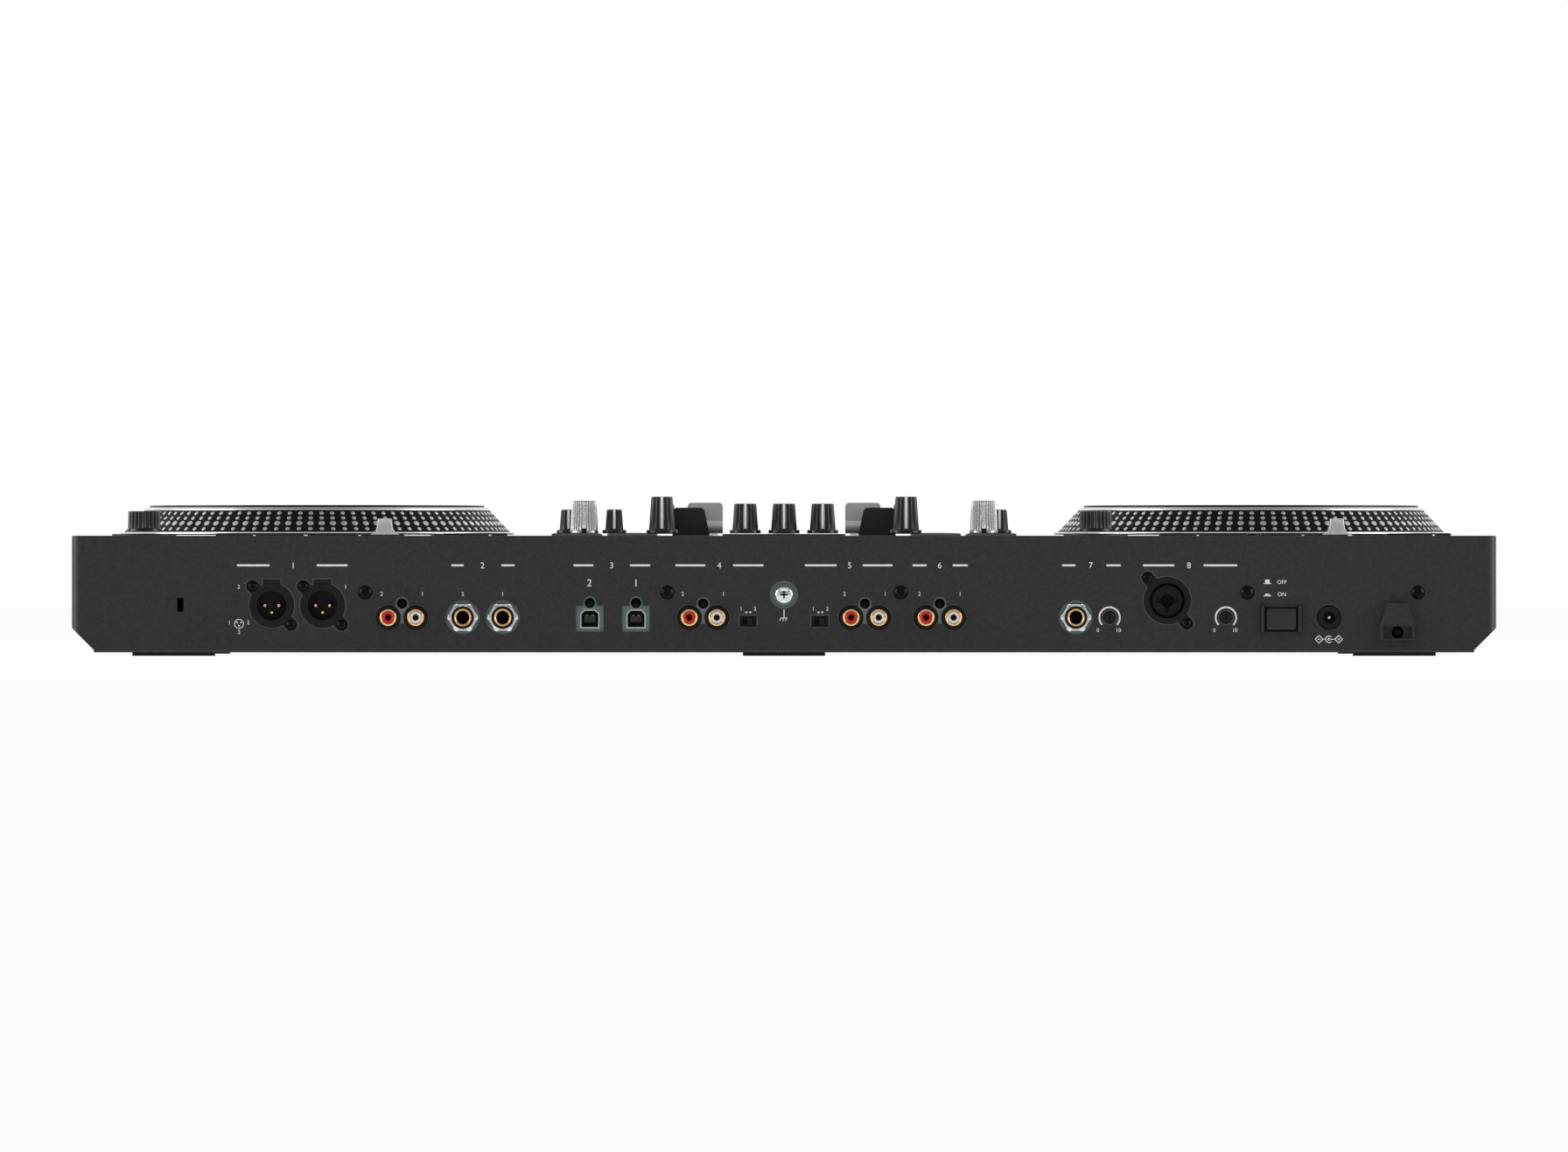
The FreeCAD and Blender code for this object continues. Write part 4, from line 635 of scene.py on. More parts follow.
def piece(name: str, shape: Shape, finish: Finish, body: str = ROOT_BODY,
          stands_for: str | None = None) -> None:
    """Makes a shape a piece of the object: millimetres become metres, and its normals are turned outwards.

    Args:
        name: The piece's name.
        shape: Its vertices and faces, in millimetres.
        finish: Its finish.
        body: The body it rides on.
        stands_for: The plain solid that it takes the place of, if any.
    """
    mesh = bpy.data.meshes.new(name)
    faces = shape.quads.tolist() + [cap.tolist() for cap in shape.caps]
    mesh.from_pydata((shape.points * MM).tolist(), [], faces)
    work = bmesh.new()
    work.from_mesh(mesh)
    bmesh.ops.remove_doubles(work, verts=work.verts, dist=WELD)
    bmesh.ops.recalc_face_normals(work, faces=work.faces)
    work.to_mesh(mesh)
    work.free()
    mesh.polygons.foreach_set("use_smooth", np.ones(len(mesh.polygons), dtype=bool))
    mesh.set_sharp_from_angle(angle=SMOOTH_ANGLE)
    mesh.materials.append(finish.material())
    made = bpy.data.objects.new(name, mesh)
    bpy.context.scene.collection.objects.link(made)
    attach(made, body)
    if stands_for is not None:
        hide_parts(stands_for)
    LOG.info("%s rides on %s: %d faces", name, body, len(faces))


def dress(node: bpy.types.Object, finish: Finish) -> None:
    """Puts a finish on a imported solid."""
    for place in node.material_slots:
        place.material = finish.material()


# Share of the radius and lift over the cone along the section of a platter's dot
DOT_PROFILE = ((1.0, -0.1), (1.0, 0.05), (0.72, 0.16), (0.3, 0.2))
DOT_STEPS = 14
LABEL_STEPS = 96


@dataclass
class Deck:
    """A platter with its dotted cone, bright rims, disc and disc label.

    Attributes:
        side: Left or right, as the user sees it.
        along: Place of the axis from front to rear.
        flange: Radius of the lower bright rim.
        roll: Radius of that rim's rolled edges.
        cone: Radius of the dotted cone at its foot and at its top.
        hollow: Inner radius of the lower rim and of the cone.
        rim: Radius of the upper bright rim at its top.
        rim_bore: Inner radius of the upper rim.
        rim_edge: Radius of its rolled upper edge, and how far that edge's middle lies inside the rim.
        lip: Steps out and up from the cone's top edge to the rim's lower lip.
        disc: Radius of the disc.
        foot_inset: How much smaller the disc's underside is.
        bead: Radius of the disc's rounded edge.
        bead_width: Width of the raised edge of the disc.
        band: Distances from the label at which the grooved band starts and the raised middle ends.
        drops: How far the band and the middle lie under the disc's top.
        label: Radius of the disc's label.
        label_gaps: Inner and outer radius of the two bare rings in the label.
        label_depth: Thickness of the label's print.
        label_clear: Bare width between the hole and the label.
        bore: Radius of the hole for the spindle.
        levels: Heights of the flange's foot, the cone's foot and top, the rim's top and the disc's top.
        rows: Height and diameter of each row of dots.
        columns: Dots in each row.
        steps: Points round each turned piece.
    """

    side: str
    along: float = 5.0
    flange: float = 103.0
    roll: float = 0.45
    cone: Pair = (100.95, 90.35)
    hollow: float = 84.0
    rim: float = 89.0
    rim_bore: float = 20.0
    rim_edge: Pair = (0.5, 0.35)
    lip: tuple[Pair, ...] = ((0.05, 0.0), (0.2, 0.25), (0.15, 0.7))
    disc: float = 87.55
    foot_inset: float = 0.4
    bead: float = 0.55
    bead_width: float = 2.6
    band: Pair = (6.0, 4.6)
    drops: Pair = (0.15, 0.02)
    label: float = 50.0
    label_gaps: tuple[Pair, Pair] = ((15.0, 16.0), (44.0, 45.2))
    label_depth: float = 0.03
    label_clear: float = 0.3
    bore: float = 3.75
    levels: tuple[float, float, float, float, float] = (62.8, 64.1, 75.2, 76.9, 78.2)
    rows: tuple[Pair, ...] = ((73.8, 2.2), (71.3, 2.2), (68.6, 3.2), (65.75, 2.2))
    columns: int = 105
    steps: int = 192

    def build(self) -> None:
        """Makes the platter's pieces and hides the plain solids that they stand for."""
        side, axis = self.side, (SIDES[self.side] * DECK_X, self.along, 0.0)
        centre = tuple(value * MM for value in axis)
        bright, vinyl, paper = (replace(finish, name=f"{finish.name}_{side}", centre=centre)
                                for finish in (TURNED_RIM, DISC_GROOVE, DISC_LABEL))
        for name, shape, finish, slot, solid in (
                ("platter_flange", self.lower_rim(), bright, "platter_metal", None),
                ("platter_cone", self.dark_cone(), CONE_BLACK, "platter_metal", f"platter_{side}"),
                ("platter_rim", self.upper_rim(), bright, "platter_metal", None),
                ("platter_dots", self.dots(), DOT_BRIGHT, "platter_metal", None),
                ("disc_sheet", self.sheet(), vinyl, "disc_black", f"disc_{side}"),
                ("disc_label", self.label_print(), paper, "disc_black", None)):
            piece(f"{name}_{side}", shape.moved(axis), finish, f"deck_{side}", solid)

    def lower_rim(self) -> Shape:
        """The bright flange at the foot, rolled at both edges.

        Returns:
            The flange about the origin.
        """
        low, high = self.levels[:2]
        middle = self.flange - self.roll
        lower = arc_profile((middle, low + self.roll), self.roll, -90, 0)
        upper = arc_profile((middle, high - self.roll), self.roll, 0, 90)
        return lathe([(self.hollow, low), *lower, *upper, (self.hollow, high)], self.steps, ring=True)

    def dark_cone(self) -> Shape:
        """The cone that carries the dots.

        Returns:
            The cone about the origin.
        """
        low, high = self.levels[1:3]
        return lathe([(self.hollow, low), (self.cone[0], low), (self.cone[1], high), (self.hollow, high)],
                     self.steps, ring=True)

    def upper_rim(self) -> Shape:
        """The bright rim over the cone: a small lip, then a slope with a rounded upper edge.

        Returns:
            The rim about the origin.
        """
        low, high = self.levels[2:4]
        lip = [(self.cone[1] + out, low + up) for out, up in self.lip]
        roll, inset = self.rim_edge
        upper = arc_profile((self.rim - inset, high - roll), roll, 20, 90)
        return lathe([(self.rim_bore, low), *lip, *upper, (self.rim_bore, high)], self.steps, ring=True)

    def sheet(self) -> Shape:
        """The disc: a rounded edge, a bead, the grooved band a little lower and the raised middle.

        Returns:
            The disc about the origin.
        """
        low, high = self.levels[3:]
        band, middle = (high - drop for drop in self.drops)
        start, end = (self.label + reach for reach in self.band)
        edge = arc_profile((self.disc - self.bead, (low + high) / 2), self.bead, -60, 60)
        return lathe([(self.bore, low), (self.disc - self.foot_inset, low), *edge,
                      (self.disc - self.bead_width, band), (start, band), (end, middle), (self.bore, middle)],
                     self.steps, ring=True)

    def label_print(self) -> Shape:
        """The label's three printed rings.

        Returns:
            The rings about the origin.
        """
        high = self.levels[-1]
        low = high - self.label_depth
        (first, second), (third, fourth) = self.label_gaps
        rings = ((self.bore + self.label_clear, first), (second, third), (fourth, self.label))
        profiles = [[(inner, low), (outer, low), (outer, high), (inner, high)] for inner, outer in rings]
        return joined([lathe(profile, LABEL_STEPS, ring=True) for profile in profiles])

    def dots(self) -> Shape:
        """The rows of dots: low domes set square on the cone, in equal steps round the axis.

        Returns:
            The dots about the origin.
        """
        foot, top = self.levels[1:3]
        rise, run = top - foot, self.cone[0] - self.cone[1]
        slope = math.hypot(rise, run)
        out, up = rise / slope, run / slope
        around = circle(self.columns)
        normal = np.concatenate([around * out, np.full((self.columns, 1), up)], axis=1)
        level = np.concatenate([around[:, ::-1] * [-1, 1], np.zeros((self.columns, 1))], axis=1)
        axes = np.stack([level, np.cross(normal, level), normal], axis=1)
        shapes = []
        for height, wide in self.rows:
            dome = lathe([(share * wide / 2, lift) for share, lift in DOT_PROFILE], DOT_STEPS)
            reach = self.cone[0] - run * (height - foot) / rise
            centre = np.concatenate([around * reach, np.full((self.columns, 1), height)], axis=1)
            points = np.einsum("pk,ckd->cpd", dome.points, axes) + centre[:, None, :]
            blank = dome.copies(np.zeros((self.columns, 3)))
            shapes.append(Shape(points.reshape(-1, 3), blank.quads, blank.caps))
        return joined(shapes)


@dataclass(frozen=True)
class KnobSizes:
    """Sizes of one kind of knob.

    Attributes:
        crown: Diameter at the top.
        base: Diameter over the skirt.
        skirt: Diameter of the skirt.
        height: Height over the case's top.
        ribs: Ribs round the knob.
        pointer: Width of the pointer line, where the kind has one.
        edge: Radius of the rolled upper edge.
        depth: Depth of the ribs as a share of the radius.
    """

    crown: float
    base: float
    skirt: float
    height: float
    ribs: int
    pointer: float = 1.15
    edge: float = 0.7
    depth: float = 0.1


class KnobStyle(Enum):
    """The kinds of knob."""

    TALL = KnobSizes(11.3, 13.6, 16.2, 20.2, 14)
    MID = KnobSizes(11.7, 13.6, 16.2, 16.6, 14)
    SMALL = KnobSizes(7.8, 9.3, 12.4, 13.6, 12, pointer=1.05)
    ENCODER = KnobSizes(13.0, 14.2, 14.8, 18.1, 28, edge=1.6, depth=0.07)
    DECK = KnobSizes(16.6, 17.1, 17.3, 12.7, 22, depth=0.08)


# Share of the ribs' depth along a knob's side and over its upper edge, and how sharp the valleys are
SIDE_RIBS = (0.4, 1.0, 1.0, 1.0, 1.0, 1.0)
EDGE_RIBS = (1.0, 0.7, 0.35, 0.1)
VALLEY_POWER = 1.5
SKIRT_ROLL = 0.6
SKIRT_BEVEL = 0.3

# How far the dish in a knob's crown lies under its height, from the rim to the core
DISH_DROPS = (0.02, 0.25, 0.3)
DISH_RIM = 0.6
DISH_SLOPE = 0.5
DISH_CORE = 0.3

# The pointer line: how far it starts over the skirt, stands over the crown, reaches under it and ends short
# of the axis, and how deep it lies in the knob and bulges out of it
POINTER_FOOT = 0.6
POINTER_LIFT = 0.35
POINTER_DROP = 0.5
POINTER_END = 0.6
POINTER_ROOT = 1.2
POINTER_SIDE = 0.2
POINTER_BULGE = 0.25
POINTER_BEVEL = 0.1

# The notch of an encoder: half widths and heights of its foot and top, its depth and how far it stands out
NOTCH_HALVES = (1.5, 0.9)
NOTCH_LEVELS = (0.2, 2.6)
NOTCH_DEPTH = 0.8
NOTCH_LIFT = 0.12


@dataclass
class Knob:
    """A ribbed knob on its shaft, with a pointer line or a notch towards the rear where its kind has one.

    Attributes:
        node: The solid that the knob stands for.
        style: Its kind.
        x: Place from left to right.
        y: Place from front to rear.
        gap: Free height under the skirt.
        skirt: Height of the skirt.
        fine: Points in each rib.
    """

    node: str
    style: KnobStyle
    x: float
    y: float
    gap: float = 1.2
    skirt: float = 1.9
    fine: int = 8

    def build(self) -> None:
        """Makes the knob with its pointer or notch and hides the plain solid."""
        place = (self.x, self.y, CASE_TOP)
        silver = self.style is KnobStyle.ENCODER
        finish, slot = (KNOB_SILVER, "bright_knob") if silver else (KNOB_BLACK, "black_knob")
        piece(f"{self.node}_body", self.ribbed().moved(place), finish, self.node, self.node)
        if silver:
            piece(f"{self.node}_notch", self.notch().moved(place), SOCKET_BLACK, self.node)
        elif self.style is not KnobStyle.DECK:
            piece(f"{self.node}_pointer", self.pointer().moved(place), PRINT_WHITE, self.node)

    def levels(self) -> np.ndarray:
        """Rows of radius, height and rib share, from the foot to the crown.

        The skirt and the upper edge are rolled by quarter circles. The ribs fade in over the skirt and out
        at the top.

        Returns:
            One row for each level.
        """
        size = self.style.value
        low, high, rim = self.gap, self.gap + self.skirt, size.skirt / 2
        turn = np.radians([0, 30, 60, 90])
        inset, drop = 1 - np.cos(turn), 1 - np.sin(turn)
        foot = np.array([[rim - SKIRT_BEVEL, low, 0.0], [rim, low + SKIRT_BEVEL, 0.0]])
        roll = np.stack([rim - SKIRT_ROLL * inset, high - SKIRT_ROLL * drop, np.zeros(len(turn))], axis=-1)
        share = np.linspace(0, 1, len(SIDE_RIBS))
        sides = np.stack([size.base / 2 + (size.crown - size.base) / 2 * share,
                          high + (size.height - size.edge - low - self.skirt) * share,
                          np.array(SIDE_RIBS)], axis=-1)
        upper = np.stack([size.crown / 2 - size.edge * inset, size.height - size.edge * drop,
                          np.array(EDGE_RIBS)], axis=-1)[1:]
        hollow = [size.crown / 2 - size.edge - DISH_RIM, size.crown / 4 - DISH_SLOPE, DISH_CORE]
        sunk = size.height - np.array(DISH_DROPS)
        dish = np.stack([np.array(hollow), sunk, np.zeros(len(hollow))], axis=-1)
        return np.concatenate([foot, roll, sides, upper, dish])

    def ribbed(self) -> Shape:
        """The knob's skin: radius = level radius (1 - depth share v(a)), with v = 1 in a rib's valley.

        Returns:
            The skin about the origin.
        """
        size, rows = self.style.value, self.levels()
        ring = circle(size.ribs * self.fine)[:, ::-1]
        angle = np.arange(len(ring)) * (2 * math.pi / len(ring))
        valley = (0.5 - 0.5 * np.cos(angle * size.ribs)) ** VALLEY_POWER
        radius = rows[:, 0][:, None] * (1 - size.depth * rows[:, 2][:, None] * valley[None, :])
        return stacked(placed_rings(radius[:, :, None] * ring[None, :, :], rows[:, 1], Facing.UP))

    def pointer(self) -> Shape:
        """The white line: a strip up the side towards the rear and over the top to the middle.

        Returns:
            The line about the origin.
        """
        size = self.style.value
        foot = self.gap + self.skirt + POINTER_FOOT
        over, under = size.height + POINTER_LIFT, size.height - POINTER_DROP
        base, crown, half = size.base / 2, size.crown / 2, size.pointer / 2
        path = np.array([[base - POINTER_SIDE, foot], [base + POINTER_SIDE, foot],
                         [crown + POINTER_BULGE, under], [crown - POINTER_BEVEL, over],
                         [POINTER_END, over], [POINTER_END, under],
                         [crown - POINTER_ROOT, size.height - POINTER_ROOT]])
        sides = [np.insert(path, 0, side, axis=1) for side in (-half, half)]
        return stacked(np.array(sides))

    def notch(self) -> Shape:
        """The small dark mark at the rear of the skirt: a low wedge, wider at its foot.

        Returns:
            The mark about the origin.
        """
        size = self.style.value
        low, high = (self.gap + level for level in NOTCH_LEVELS)
        foot, top = NOTCH_HALVES
        outline = np.array([[-foot, low], [foot, low], [top, high], [-top, high]])
        return prism(outline, size.base / 2 - NOTCH_DEPTH, size.skirt / 2 + NOTCH_LIFT, Facing.REAR)


# Heights of a fader cap's flare, what its top rows take off the height and the length, and its corner
# radius, which is at most a share of the width
CAP_RISE = (0.0, 0.15, 0.4, 0.7, 1.1, 1.6, 2.2, 3.0, 4.0, 5.4)
CAP_DROP = (0.5, 0.12, 0.0, 0.15, 0.3)
CAP_SHORT = (1.7, 2.1, 2.9, 3.4, 3.7)
CAP_CORNER = 0.8
CAP_ROUND = 0.45

# How much a fader cap's foot is narrower, shorter and lower than the flare, how much the flare shortens, and
# the corner radius and rolled edge of the line on the cap
CAP_FOOT = (0.5, 0.6, 0.1)
CAP_TAPER = 1.4
LINE_SOFT = (0.2, 0.05)

# How far printed lines of a moved piece stand over its face
INK_LIFT = 0.02


@dataclass
class FaderCap:
    """A fader's cap with sweeping sides and a line across its top, on a flat stem.

    Attributes:
        node: The solid that the cap stands for.
        x: Place from left to right.
        y: Place from front to rear.
        turned: Whether the cap slides from front to rear.
        widths: Width at the foot, at the waist and at the top, along the slide.
        sweep: Height in which the flare falls to a third.
        length: Size across the slide.
        height: Height of the cap.
        gap: Free height under the cap.
        line: Width of the line, how much shorter than the cap it is, and its depth.
        stem: Half width and half thickness of the stem, and its depth in the slot.
    """

    node: str
    x: float
    y: float
    turned: bool = False
    widths: Point = (14.6, 7.2, 7.1)
    sweep: float = 1.6
    length: float = 20.0
    height: float = 8.3
    gap: float = 0.5
    line: Point = (0.9, 2.4, 0.3)
    stem: Point = (2.0, 0.6, 8.0)

    def build(self) -> None:
        """Makes the cap, its line and its stem and hides the plain solid."""
        width, short, depth = self.line
        low, high = self.height - depth, self.height + INK_LIFT
        line = soft_slab((width, self.length - short), low, high, *LINE_SOFT)
        wide, thick, deep = self.stem
        stem = box((-wide, -thick, -deep), (wide, thick, self.gap + 0.5))
        turn = math.pi / 2 if self.turned else 0.0
        for name, shape, lift, finish, solid in (("cap", self.skin(), 0.0, CAP_GREY, self.node),
                                                 ("line", line, self.gap, KNOB_BLACK, None),
                                                 ("stem", stem, 0.0, SPINDLE_STEEL, None)):
            placed = shape.turned(turn).moved((self.x, self.y, CASE_TOP + lift))
            piece(f"{self.node}_{name}", placed, finish, self.node, solid)

    def skin(self) -> Shape:
        """The cap: a rounded outline with a flare, width = waist + (foot - waist) exp(-rise / sweep).

        Returns:
            The cap about the origin.
        """
        foot, waist, crown = self.widths
        rise = np.array(CAP_RISE)
        flare = waist + (foot - waist) * np.exp(-rise / self.sweep)
        narrow, short, lift = CAP_FOOT
        top = [crown, crown - 0.35, crown - 1.2, 0.5 * crown, 0.3]
        wide = np.concatenate([[foot - narrow], flare, top])
        tall = np.concatenate([[0.0], rise + lift, self.height - np.array(CAP_DROP)])
        deep = self.length - np.concatenate([[short], np.linspace(0.0, CAP_TAPER, len(rise)), CAP_SHORT])
        outlines = [rounded_box_outline(width, depth, min(CAP_CORNER, CAP_ROUND * width))
                    for width, depth in zip(wide, deep)]
        return stacked(placed_rings(np.array(outlines), tall + self.gap, Facing.UP))


@dataclass
class PadBank:
    """Eight soft pads on one mat.

    Attributes:
        side: Left or right, as the user sees it.
        inner: Distance of the bank's inner edge from the middle of the case.
        front: Front edge of the nearest row.
        size: Width of a pad.
        pitch: Distance from pad to pad.
        columns: Pads from left to right.
        rows: Pads from front to rear.
        low: Height of the pads' foot.
        high: Height of their upper edge.
        corner: Corner radius of a pad.
        edge: Radius of its rolled edge.
        crown: How far the middle of a pad stands over its edge.
        margin: How far the sheet under the pads reaches past them.
        sheet: How far the sheet reaches under and over the pads' foot.
    """

    side: str
    inner: float = 66.8
    front: float = -144.5
    size: float = 26.0
    pitch: float = 29.2
    columns: int = 2
    rows: int = 4
    low: float = 58.5
    high: float = 63.6
    corner: float = 1.6
    edge: float = 0.9
    crown: float = 0.3
    margin: float = 1.5
    sheet: Pair = (0.6, 0.2)

    def build(self) -> None:
        """Makes the pads with the sheet that carries them and hides the plain mat."""
        sign, solid = SIDES[self.side], f"pad_mat_{self.side}"
        pad = soft_slab((self.size, self.size), self.low, self.high, self.corner, self.edge, crown=self.crown)
        column, row = np.meshgrid(np.arange(self.columns), np.arange(self.rows))
        x = self.inner + self.size / 2 + self.pitch * column.ravel()
        y = self.front + self.size / 2 + self.pitch * row.ravel()
        places = np.stack([sign * x, y, np.zeros(len(x))], axis=-1)
        outer = self.inner + self.size + self.pitch * (self.columns - 1)
        back = self.front + self.size + self.pitch * (self.rows - 1)
        near, far = sorted((sign * (self.inner - self.margin), sign * (outer + self.margin)))
        under, over = self.sheet
        sheet = box((near, self.front - self.margin, self.low - under),
                    (far, back + self.margin, self.low + over))
        piece(f"pad_bank_{self.side}", joined([pad.copies(places), sheet]), PAD_RUBBER, solid,
              solid)


@dataclass
class DeckKeys:
    """The row of keys behind a platter and the start key in front of it.

    Attributes:
        side: Left or right, as the user sees it.
        spans: Left and right edges of the keys, from the platter's axis.
        row: Place of the row's middle from front to rear.
        depth: Size of the keys from front to rear.
        low: Height of the keys' foot.
        high: Height of the row's tops.
        soft: Corner radius, rolled edge and crown of a key.
        web: Widest gap that a web closes, how far the web reaches into the keys, and half its depth.
        web_drops: How far the web's foot and face lie under the tops.
        start: Start key: middle from the axis, middle from front to rear, width, depth and top.
        start_soft: Corner radius, rolled edge and crown of the start key.
        sign: Half height of the start sign, and the thickness of its print.
        peak: Left and right end of the sign's arrow.
        bars: Left edges of the sign's bars.
        bar: Width of a bar.
    """

    side: str
    spans: tuple[Pair, ...] = ((-101.0, -92.6), (-91.4, -67.3), (-47.7, -25.1), (-23.9, -2.2), (4.3, 29.4),
                               (30.6, 50.0))
    row: float = 129.5
    depth: float = 8.0
    low: float = 58.6
    high: float = 63.4
    soft: Point = (0.7, 0.35, 0.1)
    web: Point = (2.0, 1.2, 2.5)
    web_drops: Pair = (0.75, 0.03)
    start: tuple[float, float, float, float, float] = (-72.0, -154.5, 30.0, 20.0, 63.6)
    start_soft: Point = (2.0, 0.6, 0.15)
    sign: Pair = (2.6, 0.2)
    peak: Pair = (-5.6, -1.2)
    bars: Pair = (1.4, 4.2)
    bar: float = 1.5

    def build(self) -> None:
        """Makes the keys and hides the plain ones."""
        axis = SIDES[self.side] * DECK_X
        corner, edge, crown = self.soft
        keys = [soft_slab((right - left, self.depth), self.low, self.high - crown, corner, edge, crown=crown)
                .moved((axis + (left + right) / 2, self.row, 0.0)) for left, right in self.spans]
        gap, grip, half = self.web
        foot, face = (self.high - drop for drop in self.web_drops)
        webs = [box((axis + right - grip, self.row - half, foot), (axis + left + grip, self.row + half, face))
                for (_, right), (left, _) in zip(self.spans, self.spans[1:]) if left - right < gap]
        x, y, wide, deep, top = self.start
        place = (axis + x, y, 0.0)
        corner, edge, crown = self.start_soft
        key = soft_slab((wide, deep), self.low, top - crown, corner, edge, crown=crown).moved(place)
        tall, thick = self.sign
        low, high = top - thick, top + INK_LIFT
        tail, tip = self.peak
        peak = prism(np.array([[tail, -tall], [tip, 0.0], [tail, tall]]), low, high, Facing.UP)
        bars = [box((left, -tall, low), (left + self.bar, tall, high)) for left in self.bars]
        row, start = f"deck_keys_{self.side}", f"start_key_{self.side}"
        piece(f"key_row_{self.side}", joined(keys + webs), KNOB_BLACK, row, row)
        piece(f"start_cap_{self.side}", key, KNOB_BLACK, start, start)
        piece(f"start_mark_{self.side}", joined([peak, *bars]).moved(place), PRINT_WHITE, start)


# Name, place and size in metres, brightness, and whether polished surfaces show the panel
LAMPS = (
    ("top_panel", (0.0, 0.1, 1.6), (2.4, 1.6), 0.9, False),
    ("left_panel", (-1.7, 0.3, 0.45), (1.2, 1.2), 4.0, True),
    ("right_panel", (1.7, 0.3, 0.45), (1.2, 1.2), 4.0, True),
    ("rear_fill", (0.0, 2.6, 1.7), (2.2, 1.0), 1.0, True),
)
LAMP_AIM = Vector((0.0, 0.0, 0.04))

# Distance from the middle and colour of the sky's two stops, its strength, and the paper's white
SKY_STOPS = ((0.1, (0.34, 0.34, 0.35, 1.0)), (0.8, (0.95, 0.95, 0.96, 1.0)))
SKY_STRENGTH = 0.8
PAPER_WHITE = (0.86, 0.86, 0.86, 1.0)


